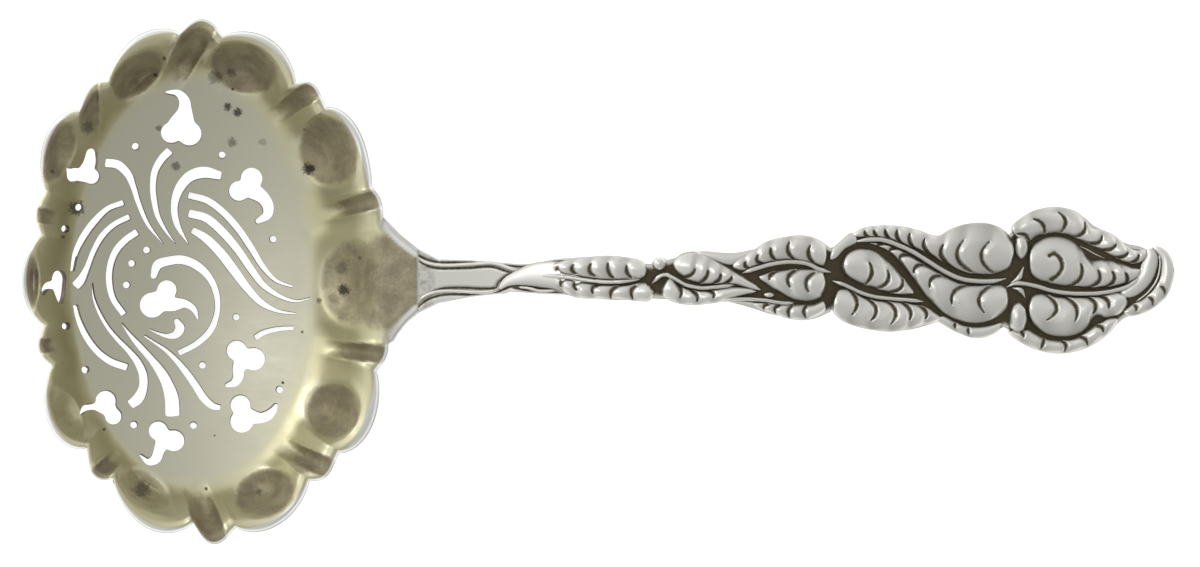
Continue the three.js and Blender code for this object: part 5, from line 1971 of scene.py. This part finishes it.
         ((1063, 341.3), (1066.5, 345), (1065, 351)), ((1081.5, 337), (1086.5, 340), (1088, 344.5)),
         ((1098, 325.5), (1103.5, 328.5), (1104, 332))),
    ),
    "tip_leaf": HalfLeaf(
        (1150, 248), ((1148, 254.2), (1144, 262.7), (1141, 272.5), (1134, 281), (1127, 287), (1122, 292)),
        ((1153.3, 249.4), (1157.6, 254.2), (1158.2, 262.7), (1155.8, 272.4), (1150.3, 283.3),
         (1141.8, 291.8), (1133.3, 296.7)),
        (1125, 298), rise=0.5,
    ),
    "tip_curl": HalfLeaf(
        (1154, 247),
        ((1156.4, 249.4), (1163, 257.9), (1163.6, 268.8), (1161.2, 280.9), (1153.9, 291.8),
         (1144.2, 300.3), (1134.5, 305.2), (1127.3, 310)),
        ((1161, 248), (1168.5, 254.2), (1172.7, 264), (1174, 273.6), (1171.5, 284.5), (1166, 295.5),
         (1156.4, 305), (1144.2, 311.8), (1131, 314.8)),
        (1124, 313),
        (((1162, 286.5), (1165.5, 290), (1165.5, 294)), ((1150, 297.5), (1153.5, 300.5), (1153.5, 304.5)),
         ((1135, 305), (1137.5, 307.5), (1137, 311))),
        rise=0.75,
    ),
}
MIDRIBS: tuple[Wire, ...] = (
    Wire(((534.5, 275.5), (565, 277), (591, 280.7), (608, 282), (625.6, 281.3), (638.6, 279.2),
        (645, 276)), taper=0.22),
    Wire(((651.6, 283.5), (660, 276), (665.7, 274.8), (673, 278), (686, 285), (701.5, 287.9),
        (716.7, 286.8), (734, 285))),
    Wire(((742, 273), (757, 268), (775, 263.4), (791, 262), (807, 264), (819, 269.6), (830, 272.3)), 0.3),
    Wire(((722, 300), (744, 299), (762, 300), (783.6, 303), (794, 302.7)), 0.25),
    Wire(((853, 242), (865.7, 240), (881.8, 240), (896, 244.6), (912, 251.8), (928, 261.6), (944, 271.4),
        (960.4, 278.6), (976.4, 281), (992.5, 281), (1006, 278.6)), 0.32),
    Wire(((832, 281), (844, 285), (858.6, 292), (872.9, 296.4), (890.7, 298.6), (908.6, 300),
        (923, 301.4))),
    Wire(((1007, 287), (1015.8, 283.3), (1026.7, 284), (1040, 287), (1052, 290.6), (1067.9, 293),
        (1084.8, 293.6), (1100.6, 293), (1115, 290.6), (1127.3, 287), (1137, 281), (1144.2, 273.6)), 0.3),
    Wire(((1011, 283.5), (1018.5, 278), (1024, 267)), 0.42, 0.2, 0.5),
    Wire(((1013, 288), (1020, 289.5), (1025.5, 297.5)), 0.4, 0.2, 0.5),
)
THREADS: tuple[Wire, ...] = (
    Wire(((418, 257), (425.5, 262), (440.8, 265.3), (461, 265), (476, 264.2), (490, 263.2), (498, 264.2),
        (510, 268.4), (522, 271.5)), 0.24, 0.06),
    Wire(((417.5, 302.5), (424.5, 296.6), (433.7, 292.6), (444, 291), (461, 291.2), (481.6, 291.9),
        (491.8, 291.2), (499.5, 289.8)), 0.24, 0.06),
    Wire(((519, 287), (531, 288.2), (538.5, 290.3), (548, 290.6), (556, 290.2)), 0.16, 0.1),
    Wire(((1160.3, 252), (1161.3, 265), (1158, 280), (1149.5, 292), (1137, 302)), 0.13, 0.25),
    Wire(((1080, 246), (1087, 249), (1096, 254), (1106, 258.5)), 0.12, 0.02, 0.3),
)
NECK_LINES: tuple[tuple[Pixel, ...], ...] = (
    ((416, 253.5), (423.5, 258), (433.7, 261.6), (446, 262.6), (466, 261.9), (481.6, 261), (491.8, 260),
        (500, 261.7), (510, 265.4), (520, 266.8), (529, 265.6), (541, 261.9), (550, 261.2), (562, 262)),
    ((421, 262), (430.6, 266.8), (441, 268.3), (451, 268.3), (469.4, 267.9), (481.6, 266.9),
        (491.8, 266.6), (500, 268.7), (510, 272.3)),
    ((436, 291), (444, 288.8), (453, 287.9), (466, 288), (481.6, 288.7), (491.8, 288.7), (496.9, 287.5)),
    ((496.9, 287.5), (498.3, 283.6), (502, 279.7), (508, 275.3), (512, 272.6)),
    ((418, 307.5), (425.5, 301.2), (435.7, 296.7), (446, 294.5), (461, 294.2), (476.5, 295), (488, 294.7),
        (498, 292), (505, 288.6), (512, 286), (519, 285.6), (530, 287.2), (538.5, 288.4), (553, 290)),
    ((514, 287.5), (524, 289.3), (534.8, 292.7), (544.5, 293.8), (555.4, 292.4), (564, 294)),
)
BUDS: tuple[Bud, ...] = (
    Bud((659, 264), (7.5, 7.0)), Bud((1021.5, 247), (7.0, 12.5)), Bud((1018, 317.5), (9.5, 15.5)),
    Bud((768, 295), (5.5, 3.2)), Bud((719, 257.5), (2.4, 2.0)), Bud((725, 259), (2.4, 2.0)),
    Bud((731, 260.3), (2.4, 2.0)), Bud((737, 260.5), (2.4, 2.0)),
)


@dataclass
class LeafHandle:
    """The arched silver handle with its relief of scaled leaves."""

    form: HandleForm = field(default_factory=HandleForm)
    finish: StruckFinish = field(default_factory=StruckFinish)
    # The shank
    station_gap: float = 0.16
    fan_stations: int = 16
    top_ranks: int = 64
    under_ranks: int = 14
    panel_end: float = 46.0
    back_blend: float = 6.0
    back_inset: float = 0.45
    tuck: float = 0.12
    leafy_tuck: float = 0.5
    leafy_run: float = 3.0
    bevel_tuck: float = 0.3
    top_gap: float = 0.08
    bevel: tuple[tuple[float, float], ...] = (
        (0.12, 0.25), (0.02, 0.7), (0.0, 1.1), (0.03, 1.45), (0.2, 1.75),
    )
    pinches: tuple[tuple[float, float], ...] = (
        (1086, 0.0), (1094, 0.36), (1104, 0.25), (1113, 0.36), (1122, 0.5), (1131, 0.38), (1141, 0.0),
    )
    sides: Array = field(init=False, repr=False)
    # Its blackened ground and the neck's lines
    ground_lead: float = 1.5
    ground_fade: float = 2.0
    ground_margin: Fade = Fade(0.45, 0.4)
    seat_end: float = 27.2
    seat_fade: float = 0.8
    seat_dark: float = 0.3
    line_points: int = 60
    line_reach: float = 2.0
    line_half_width: float = 0.17
    line_depth: float = 0.14
    # The leaves
    leaf_row_gap: float = 0.11
    leaf_rank_gap: float = 0.12
    leaf_inset: float = 0.01
    leaf_crowding: float = 0.4
    leaf_spread: float = 0.2
    least_spread_width: float = 0.3
    leaf_height: float = 1.45
    leaf_full_width: float = 2.2
    leaf_roundness: float = 0.62
    leaf_root: float = 1.6
    leaf_floor: float = 0.12
    leaf_margin: Fade = Fade(0.25, 0.35)
    # Half width of the painted shade at the feet of the leaves.
    foot_dark: float = 0.1
    scale_depth: float = 0.23
    scale_crown: float = 0.65
    arc_points: int = 24
    groove_depth: float = 0.28
    groove_height: float = 0.8
    groove_swell: tuple[float, float] = (0.55, 0.75)
    groove_half_width: float = 0.215
    cut_points: int = 40
    cut_half_width: float = 0.33
    # The wires and buds
    relief_lift: float = 0.15
    relief_rub: float = 0.7
    wire_sides: int = 16
    wire_step: float = 0.2
    wire_end: float = 0.1
    wire_swell: float = 1.15
    # How dark the painted shade on the wires' lower sides is, and how far up it goes.
    wire_dark: float = 0.8
    wire_foot: Fade = Fade(0.8, 0.7)
    bud_rings: int = 16
    bud_sides: int = 32
    bud_swell: float = 1.1
    # How far up the painted shade on the buds' lower parts goes.
    bud_foot: Fade = Fade(0.3, 0.3)

    @staticmethod
    def outline(node: bpy.types.Object, stations: Array) -> Array:
        """Reads the handle's width along its length from the frame.

        Args:
            node: the frame's handle.
            stations: places along the spoon in millimetres.

        Returns:
            The least and the greatest y at each station.
        """
        mesh = node.data
        places = np.empty(len(mesh.vertices) * 3)
        mesh.vertices.foreach_get("co", places)
        world = np.array(node.matrix_world)
        places = (places.reshape(-1, 3) @ world[:3, :3].T + world[:3, 3]) / METRES
        ends = np.empty(len(mesh.edges) * 2, np.int64)
        mesh.edges.foreach_get("vertices", ends)
        first, second = places[ends.reshape(-1, 2)[:, 0]], places[ends.reshape(-1, 2)[:, 1]]
        rows = []
        for station in stations:
            crossed = (first[:, 0] - station) * (second[:, 0] - station) < 0
            a, b = first[crossed], second[crossed]
            share = (station - a[:, 0]) / (b[:, 0] - a[:, 0])
            across = a[:, 1] + share * (b[:, 1] - a[:, 1])
            rows.append((across.min(), across.max()))
        return np.array(rows)

    def shank(self, draft: Draft, node: bpy.types.Object) -> None:
        """Draws the shank: the fan, the neck panel and the sunk ground behind the leaves.

        Args:
            draft: the handle's mesh.
            node: the frame's handle.
        """
        form = self.form
        step, start, end = 0.01, form.start, form.start + form.length
        fan = np.linspace(form.fan_start + step, start - step, self.fan_stations)
        rest = np.arange(start + 2 * step, end - 5 * step, self.station_gap)
        stations = np.concatenate([fan, [start + step / 10], rest])
        low, high = self.outline(node, np.maximum(stations, form.fan_start + 2 * step)).T
        pinch_at, pinch = np.array(self.pinches).T
        high = high - np.interp(stations, PHOTO.place(np.stack([pinch_at, pinch], 1))[:, 0], pinch)
        self.sides = np.stack([stations, low, high])
        on_fan = stations < form.start
        top = np.where(on_fan, form.fan_top, form.ground(stations))
        under_fan = form.fan_top - form.fan_depth
        below = form.back(stations)
        run = smooth_step((stations - form.start) / self.back_blend)
        near = (stations > form.start) & (stations < form.start + self.back_blend)
        back = np.where(near, under_fan + (below - under_fan) * run, np.where(on_fan, under_fan, below))
        tuck = self.tuck + self.leafy_tuck * smooth_step((stations - self.panel_end) / self.leafy_run)
        shares, under = np.linspace(0.0, 1.0, self.top_ranks), np.linspace(1.0, 0.0, self.under_ranks)
        low_top, high_top = low + tuck + self.top_gap, high - tuck - self.top_gap
        low_back, high_back = low + self.back_inset, high - self.back_inset
        depth = top - back
        bevel = [(inset, self.bevel_tuck * tuck * (fall < 1)) for inset, fall in self.bevel]
        falls = [(top - np.minimum(fall, depth * fall / form.depth))[:, None] for _, fall in self.bevel]
        across = [
            low_top[:, None] * (1 - shares) + high_top[:, None] * shares,
            *[(high - inset - tucked)[:, None] for inset, tucked in bevel],
            low_back[:, None] * (1 - under) + high_back[:, None] * under,
            *[(low + inset + tucked)[:, None] for inset, tucked in reversed(bevel)],
        ]
        upright = [
            np.repeat(top[:, None], self.top_ranks, 1),
            *falls,
            np.repeat(back[:, None], self.under_ranks, 1),
            *reversed(falls),
        ]
        y, z = np.concatenate(across, 1), np.concatenate(upright, 1)
        rows, columns = y.shape
        points = np.stack([np.repeat(stations[:, None], columns, 1), y, z], -1).reshape(-1, 3)
        recess, satin, line = self.ground_marks(points, columns)
        points[:, 2] -= self.line_depth * line
        draft.add(points, tube_faces(rows, columns), recess=recess, satin=satin)

    def margin(self, plan: Array) -> Array:
        """Measures how far plan places lie inside the handle's outline, across it.

        Args:
            plan: rows of x and y.

        Returns:
            The distance of each place from the nearer side.
        """
        stations, low, high = self.sides
        below = plan[:, 1] - np.interp(plan[:, 0], stations, low)
        above = np.interp(plan[:, 0], stations, high) - plan[:, 1]
        return np.minimum(below, above)

    def ground_marks(self, points: Array, columns: int) -> tuple[Array, Array, Array]:
        """Marks the blackened ground and the neck's lines.

        Args:
            points: the shank's points.
            columns: how many points each of its rings has.

        Returns:
            The dark mark, the satin mark and the mask of the neck's lines at each point.
        """
        x = points[:, 0]
        on_top = np.arange(len(points)) % columns < self.top_ranks
        inner = self.ground_margin.up(self.margin(points[:, :2]))
        leafy = smooth_step((x - self.panel_end + self.ground_lead) / self.ground_fade)
        recess = leafy * on_top * inner
        seat = self.seat_dark * smooth_step((self.seat_end - x) / self.seat_fade) * on_top
        line = np.zeros(len(points))
        near = np.flatnonzero(on_top & (x < self.panel_end + self.line_reach))
        for route in NECK_LINES:
            path = flowing_line(PHOTO.place(route), self.line_points)
            gap = distance_to_line(path, points[near, :2])
            line[near] = np.maximum(line[near], bell(gap, self.line_half_width))
        return np.maximum(np.maximum(recess, line), seat), on_top.astype(float), line

    def half_leaf(self, draft: Draft, leaf: HalfLeaf) -> None:
        """Draws a half leaf as a closed patch sunk into the shank.

        Args:
            draft: the handle's mesh.
            leaf: the half leaf.
        """
        inner, outer, end = self.leaf_sides(leaf)
        width = np.linalg.norm(outer - inner, axis=1)
        rows, ranks = len(inner), max(int(float(width.max()) / self.leaf_rank_gap), 16)
        even = np.linspace(0.0, 1.0, ranks)
        crowded = (1 - self.leaf_crowding) * even + self.leaf_crowding * (1 - np.cos(np.pi * even)) / 2
        share = self.leaf_inset + (1 - 2 * self.leaf_inset) * crowded
        plan = inner[:, None, :] * (1 - share)[:, None] + outer[:, None, :] * share[:, None]
        flat = plan.reshape(-1, 2)
        height = self.leaf_height * leaf.rise * (1 - np.exp(-width / self.leaf_full_width))
        body = np.sin(np.pi * share) ** self.leaf_roundness
        scales, groove = self.scales(leaf, plan, share)
        rise = height[:, None] * body * (1 - self.scale_depth * (1 - scales))
        for cut in leaf.cuts:
            gap = distance_to_line(flowing_line(PHOTO.place(cut), self.cut_points), flat)
            groove = np.maximum(groove, bell(gap.reshape(rows, ranks), self.cut_half_width))
        rise = rise - self.groove_depth * groove * np.minimum(height[:, None] / self.groove_height, 1.0)
        if leaf.melt > 0:
            rise = rise * smooth_step(np.linalg.norm(plan - end, axis=2) / leaf.melt)
        z = self.form.ground(plan[..., 0]) + self.relief_lift + np.maximum(rise, 0.0)
        # Painted shade along the feet of the leaves, away from the handle's outline.
        wide = np.maximum(width, 0.1)[:, None]
        dark = bell(share * wide, self.foot_dark) + bell((1 - share) * wide, self.foot_dark)
        off_side = self.leaf_margin.up(self.margin(flat)).reshape(rows, ranks)
        recess = np.maximum(groove, np.minimum(dark, 1.0) * off_side)
        points = np.concatenate([flat, z.reshape(-1, 1)], 1)
        sides = points.reshape(rows, ranks, 3)[:, [0, -1]].reshape(-1, 3).copy()
        sides[:, 2] = np.maximum(self.form.ground(sides[:, 0]) - self.leaf_root, self.leaf_floor)
        groups = self.leaf_faces(rows, ranks)
        half = rows // 2
        if np.cross(inner[half + 1] - inner[half], outer[half] - inner[half]) > 0:
            groups = [group[:, ::-1] for group in groups]
        # Polish on the leaves' high middles and scale tops, which is also painted light: lighter in the
        # middle, darker towards the edges and grooves.
        rubbed = body * (0.6 + 0.4 * scales)
        marks = [np.concatenate([mark.ravel(), np.zeros(rows * 2)]) for mark in (recess, rubbed)]
        draft.add(np.concatenate([points, sides]), groups, recess=marks[0], rubbed=marks[1])

    def leaf_sides(self, leaf: HalfLeaf) -> tuple[Array, Array, Array]:
        """Lays out the two sides of a half leaf, spread a little past its drawn lines.

        Args:
            leaf: the half leaf.

        Returns:
            The points along the midrib, as many along the outer edge, and the tip.
        """
        spine = PHOTO.place([leaf.bulb, *leaf.spine, leaf.tip])
        edge = PHOTO.place([leaf.bulb, *leaf.edge, leaf.tip])
        rows = max(int(max(line_length(spine), line_length(edge)) / self.leaf_row_gap), 16)
        inner, outer = flowing_line(spine, rows), flowing_line(edge, rows)
        across = outer - inner
        width = np.maximum(np.linalg.norm(across, axis=1, keepdims=True), self.least_spread_width)
        spread = self.leaf_spread * across / width
        return inner - spread, outer + spread, spine[-1]

    @staticmethod
    def leaf_faces(rows: int, ranks: int) -> list[Array]:
        """Lists the faces of a half leaf's closed patch.

        Args:
            rows: how many rows its top has.
            ranks: how many points each row has.

        Returns:
            The faces of the top, the two sides, the underside and the two ends.
        """
        above = np.arange(rows * ranks).reshape(rows, ranks)
        below = rows * ranks + np.arange(rows * 2).reshape(rows, 2)
        near = np.stack([above[:-1, 0], above[1:, 0], below[1:, 0], below[:-1, 0]], 1)
        far = np.stack([above[1:, -1], above[:-1, -1], below[:-1, 1], below[1:, 1]], 1)
        under = np.stack([below[:-1, 0], below[1:, 0], below[1:, 1], below[:-1, 1]], 1)
        start = np.concatenate([above[0, ::-1], below[0]])[None, ::-1]
        end = np.concatenate([above[-1], below[-1, ::-1]])[None, ::-1]
        return [grid_faces(rows, ranks), near, far, under, start, end]

    def scales(self, leaf: HalfLeaf, plan: Array, share: Array) -> tuple[Array, Array]:
        """Works out a half leaf's scales.

        Args:
            leaf: the half leaf.
            plan: plan places of its rows and ranks of points.
            share: shares of the way across it, one for each rank.

        Returns:
            The swell of the scales, 0 to 1, and the mask of the grooves between them.
        """
        rows, ranks = plan.shape[:2]
        groove = np.zeros((rows, ranks))
        if not leaf.arcs:
            return np.ones((rows, ranks)), groove
        flat = plan.reshape(-1, 2)
        end, middle = self.groove_swell
        crossed = []
        for arc in leaf.arcs:
            line = round_arc(PHOTO.place(arc), self.arc_points)
            gap = np.linalg.norm(flat[:, None, :] - line[None, :, :], axis=2)
            along = gap.argmin(1) / (self.arc_points - 1)
            half = self.groove_half_width * (end + middle * np.sin(np.pi * along**0.8))
            groove = np.maximum(groove, bell(gap.min(1), half).reshape(rows, ranks))
            found = gap.argmin(0)
            order = np.argsort(share[found % ranks], kind="stable")
            crossed.append(np.interp(share, share[found % ranks][order], (found // ranks)[order]))
        crossed = np.maximum.accumulate(np.stack(sorted(crossed, key=lambda row: row.mean())), axis=0)
        crossed += np.arange(len(crossed))[:, None] * 0.01
        many = len(crossed) > 1
        before = crossed[0] - (crossed[1] - crossed[0] if many else rows / 4.0)
        after = crossed[-1] + np.maximum(crossed[-1] - crossed[-2] if many else rows / 4.0, 4.0)
        knots = np.vstack([before, crossed, after])
        places, numbers = np.arange(rows), np.arange(len(knots))
        phase = np.stack([np.interp(places, knots[:, rank], numbers) for rank in range(ranks)], 1)
        part = phase - np.floor(phase)
        crown = self.scale_crown
        swell = np.where(part < crown, smooth_step(part / crown), smooth_step((1 - part) / (1 - crown)))
        first = np.where(phase < crown, 1.0, smooth_step((1 - phase) / (1 - crown)))
        swell = np.where(phase < 1, first, swell)
        return np.where(phase > len(crossed) + 0.6, 1.0, swell), groove

    def wire(self, draft: Draft, wire: Wire) -> None:
        """Draws a raised round line.

        Args:
            draft: the handle's mesh.
            wire: the line.
        """
        ends = PHOTO.place(wire.points)
        count = max(int(line_length(ends) / self.wire_step), 8)
        line = flowing_line(ends, count)
        heading = unit_rows(np.gradient(line, axis=0))
        side = np.stack([-heading[:, 1], heading[:, 0]], 1)
        along = np.linspace(0.0, 1.0, count)
        taper = np.clip(np.minimum(along, 1 - along) / wire.taper, self.wire_end, 1.0) ** 0.6
        turn = even_turns(self.wire_sides)
        reach = wire.radius * taper
        plan = line[:, None, :] + side[:, None, :] * (np.cos(turn) * reach[:, None])[..., None]
        middle = self.form.ground(line[:, 0])[:, None] + wire.lift * taper[:, None]
        z = middle + np.sin(turn) * reach[:, None] * self.wire_swell
        points = np.concatenate([plan.reshape(-1, 2), z.reshape(-1, 1)], 1)
        # Painted shade on the lower sides of the wire, leaving its top bright.
        low = self.wire_dark * np.broadcast_to(self.wire_foot.down(np.sin(turn)), z.shape)
        draft.add(points, tube_faces(*z.shape), recess=low.ravel(), rubbed=self.relief_rub)

    def bud(self, draft: Draft, bud: Bud) -> None:
        """Draws a round bud.

        Args:
            draft: the handle's mesh.
            bud: the bud.
        """
        x, y = PHOTO.place([bud.at])[0]
        half_x, half_y = bud.half[0] * PHOTO.pixel, bud.half[1] * PHOTO.pixel
        shape = (self.bud_rings, self.bud_sides)
        climb = np.linspace(np.pi / 2 - 0.02, -np.pi / 2 + 0.02, self.bud_rings)[:, None]
        turn = even_turns(self.bud_sides)
        plan_x = x + half_x * np.cos(climb) * np.cos(turn)
        plan_y = y + half_y * np.cos(climb) * np.sin(turn)
        rise = min(half_x, half_y, 1.0) * self.bud_swell
        foot = float(self.form.ground(np.array([x]))[0]) + self.relief_lift
        z = np.broadcast_to(foot + rise * np.sin(climb), shape)
        points = np.stack([plan_x, plan_y, z], -1).reshape(-1, 3)
        # Painted shade on the lower part of the bud.
        low = np.broadcast_to(self.bud_foot.down(np.sin(climb)), shape)
        draft.add(points, tube_faces(*shape), recess=low.ravel(), rubbed=self.relief_rub)

    def build(self, node: bpy.types.Object) -> bpy.types.Object:
        """Builds the handle's mesh.

        Args:
            node: the frame's handle, which gives the shank's width.

        Returns:
            The handle.
        """
        draft = Draft(("recess", "satin", "rubbed"))
        self.shank(draft, node)
        for leaf in LEAVES.values():
            self.half_leaf(draft, leaf)
        for wire in (*MIDRIBS, *THREADS):
            self.wire(draft, wire)
        for bud in BUDS:
            self.bud(draft, bud)
        piece = draft.make("leaf_handle", 50.0)
        log.info("leaf_handle: %d faces", len(piece.data.polygons))
        return piece

    def dress(self, effects: SharedEffects) -> bpy.types.Object:
        """Builds the handle, gives it its finish and seats it in the frame.

        Args:
            effects: the shared node groups.

        Returns:
            The handle.
        """
        piece = self.build(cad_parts["handle"])
        piece.data.materials.append(self.finish.material(effects))
        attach(piece, "root")
        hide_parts("handle")
        return piece


@dataclass
class SolderSeam:
    """The film of hard solder between the bowl's tongue and the handle."""

    finish: SolderFinish = field(default_factory=SolderFinish)
    half_width: float = 3.4
    start: float = 20.2
    tongue_end: float = 24.4
    step: float = 24.6
    under: float = 9.106
    over: float = 9.306
    top: float = 10.04
    meniscus: float = 0.012
    bead: float = 0.05
    stations: int = 49

    def build(self) -> bpy.types.Object:
        """Builds the film, whose shown line has a faint ripple.

        Returns:
            The seam.
        """
        section = np.array(
            [
                (self.start, self.under),
                (self.step, self.under),
                (self.step, self.top),
                ((self.step + self.tongue_end) / 2, self.top + self.meniscus),
                (self.tongue_end, self.top),
                (self.tongue_end, self.over),
                (self.start, self.over),
                (self.start - self.bead, (self.over + self.under) / 2),
            ]
        )
        count = len(section)
        across = np.linspace(-self.half_width, self.half_width, self.stations)
        ripple = 0.008 * np.sin(across * 3.1) + 0.006 * np.sin(across * 7.7 + 1.0)
        x, z = np.tile(section, (self.stations, 1)).T
        z = z + np.repeat(ripple, count) * (z > self.over + 0.1)
        draft = Draft(())
        faces = [grid_faces(self.stations, count, True), *end_caps(self.stations, count)]
        draft.add(np.stack([x, np.repeat(across, count), z], 1), faces)
        piece = draft.make("solder_film", 40.0)
        log.info("solder_film: %d faces", len(piece.data.polygons))
        return piece

    def dress(self, effects: SharedEffects) -> bpy.types.Object:
        """Builds the seam, gives it its finish and seats it in the frame.

        Args:
            effects: the shared node groups.

        Returns:
            The seam.
        """
        piece = self.build()
        piece.data.materials.append(self.finish.material(effects))
        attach(piece, "root")
        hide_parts("solder_seam")
        return piece


# The studio


@dataclass(frozen=True)
class SoftLight:
    """A soft box: its place and aim in metres, its sides in metres and its power in watts."""

    name: str
    place: tuple[float, float, float]
    aim: tuple[float, float, float]
    sides: tuple[float, float]
    watts: float


@dataclass
class Studio:
    """The white table, the light tent and the camera."""

    lens: float = 400.0
    sensor: float = 36.0
    focus_height: float = 0.006
    floor_half: float = 3.0
    floor_level: float = -0.0001
    paper: tuple[float, float, float] = (0.8, 0.8, 0.8)
    paper_glow: float = 0.66
    zenith: float = 0.60
    side: float = 0.74
    tent_edge: tuple[float, float] = (0.55, 0.98)
    tilt: tuple[float, float] = (-0.18, 0.15)
    lights: tuple[SoftLight, ...] = (
        SoftLight("window_light", (-0.20, 0.18, 0.82), (0.0, 0.0, 0.0), (0.20, 0.20), 0.52),
        SoftLight("low_light", (-0.60, 0.42, 0.36), (0.03, 0.0, 0.0), (0.25, 0.25), 1.0),
    )

    def floor(self) -> None:
        """Lays the white table, which keeps a faint shadow."""
        half, level = self.floor_half, self.floor_level
        mesh = bpy.data.meshes.new("white_table")
        corners = [(x * half, y * half, level) for x, y in ((-1, -1), (1, -1), (1, 1), (-1, 1))]
        mesh.from_pydata(corners, [], [(0, 1, 2, 3)])
        table = bpy.data.objects.new("white_table", mesh)
        bpy.context.scene.collection.objects.link(table)
        material = bpy.data.materials.new("white_paper")
        desk = NodeDesk(cleared_tree(material))
        path = desk.node("ShaderNodeLightPath")
        seen = desk.math("MAXIMUM", path.outputs["Is Camera Ray"], path.outputs["Is Glossy Ray"])
        seen = desk.math("MAXIMUM", seen, path.outputs["Is Transmission Ray"])
        paper = {
            "Base Color": (*self.paper, 1.0),
            "Roughness": 1.0,
            "Specular IOR Level": 0.0,
            "Emission Color": (1.0, 1.0, 1.0, 1.0),
            "Emission Strength": desk.times(seen, self.paper_glow),
        }
        shader = desk.node("ShaderNodeBsdfPrincipled", paper)
        desk.node("ShaderNodeOutputMaterial", {0: shader.outputs[0]})
        mesh.materials.append(material)

    def world(self) -> None:
        """Hangs the light tent: dimmer overhead, brighter at its sides and white to the camera."""
        world = bpy.data.worlds.new("light_tent")
        bpy.context.scene.world = world
        desk = NodeDesk(cleared_tree(world))
        place = desk.node("ShaderNodeTexCoord").outputs["Generated"]
        parts = desk.node("ShaderNodeSeparateXYZ", {0: place})
        up = desk.ramp(parts.outputs["Z"], *self.tent_edge, self.side, self.zenith)
        tilt_x, tilt_y = self.tilt
        across = desk.times(parts.outputs["Y"], tilt_y)
        level = desk.math("ADD", up, desk.math("ADD", across, desk.times(parts.outputs["X"], tilt_x)))
        path = desk.node("ShaderNodeLightPath")
        inputs = {0: path.outputs["Is Camera Ray"], 2: level, 3: 1.0}
        strength = desk.node("ShaderNodeMix", inputs, data_type="FLOAT").outputs[0]
        white = {"Strength": strength, "Color": (1.0, 1.0, 1.0, 1.0)}
        background = desk.node("ShaderNodeBackground", white)
        desk.node("ShaderNodeOutputWorld", {0: background.outputs[0]})

    def light(self, plan: SoftLight) -> None:
        """Hangs a soft box.

        Args:
            plan: the soft box.
        """
        data = bpy.data.lights.new(plan.name, "AREA")
        data.shape = "RECTANGLE"
        data.size, data.size_y = plan.sides
        data.energy = plan.watts
        lamp = bpy.data.objects.new(plan.name, data)
        lamp.location = plan.place
        lamp.rotation_mode = "QUATERNION"
        lamp.rotation_quaternion = (Vector(plan.aim) - Vector(plan.place)).to_track_quat("-Z", "Y")
        lamp.visible_camera = False
        bpy.context.scene.collection.objects.link(lamp)

    def camera(self) -> None:
        """Sets the camera straight above the middle of the frame."""
        data = bpy.data.cameras.new("camera")
        data.lens = self.lens
        data.sensor_width = self.sensor
        wide = PHOTO.wide * PHOTO.pixel * METRES
        x, y = PHOTO.centre()
        camera = bpy.data.objects.new("camera", data)
        camera.location = (x * METRES, y * METRES, self.focus_height + wide * self.lens / self.sensor)
        data.clip_end = 20.0
        bpy.context.scene.collection.objects.link(camera)
        bpy.context.scene.camera = camera

    def build(self) -> None:
        """Sets up the table, the tent, the lights and the camera."""
        self.floor()
        self.world()
        for plan in self.lights:
            self.light(plan)
        self.camera()
        bpy.context.scene.view_settings.view_transform = "Standard"


def main() -> None:
    """Builds the spoon and its studio."""
    logging.basicConfig(level=logging.INFO, format="%(message)s")
    effects = SharedEffects()
    SifterBowl().dress(effects)
    LeafHandle().dress(effects)
    SolderSeam().dress(effects)
    Studio().build()


if __name__ == "__main__":
    main()
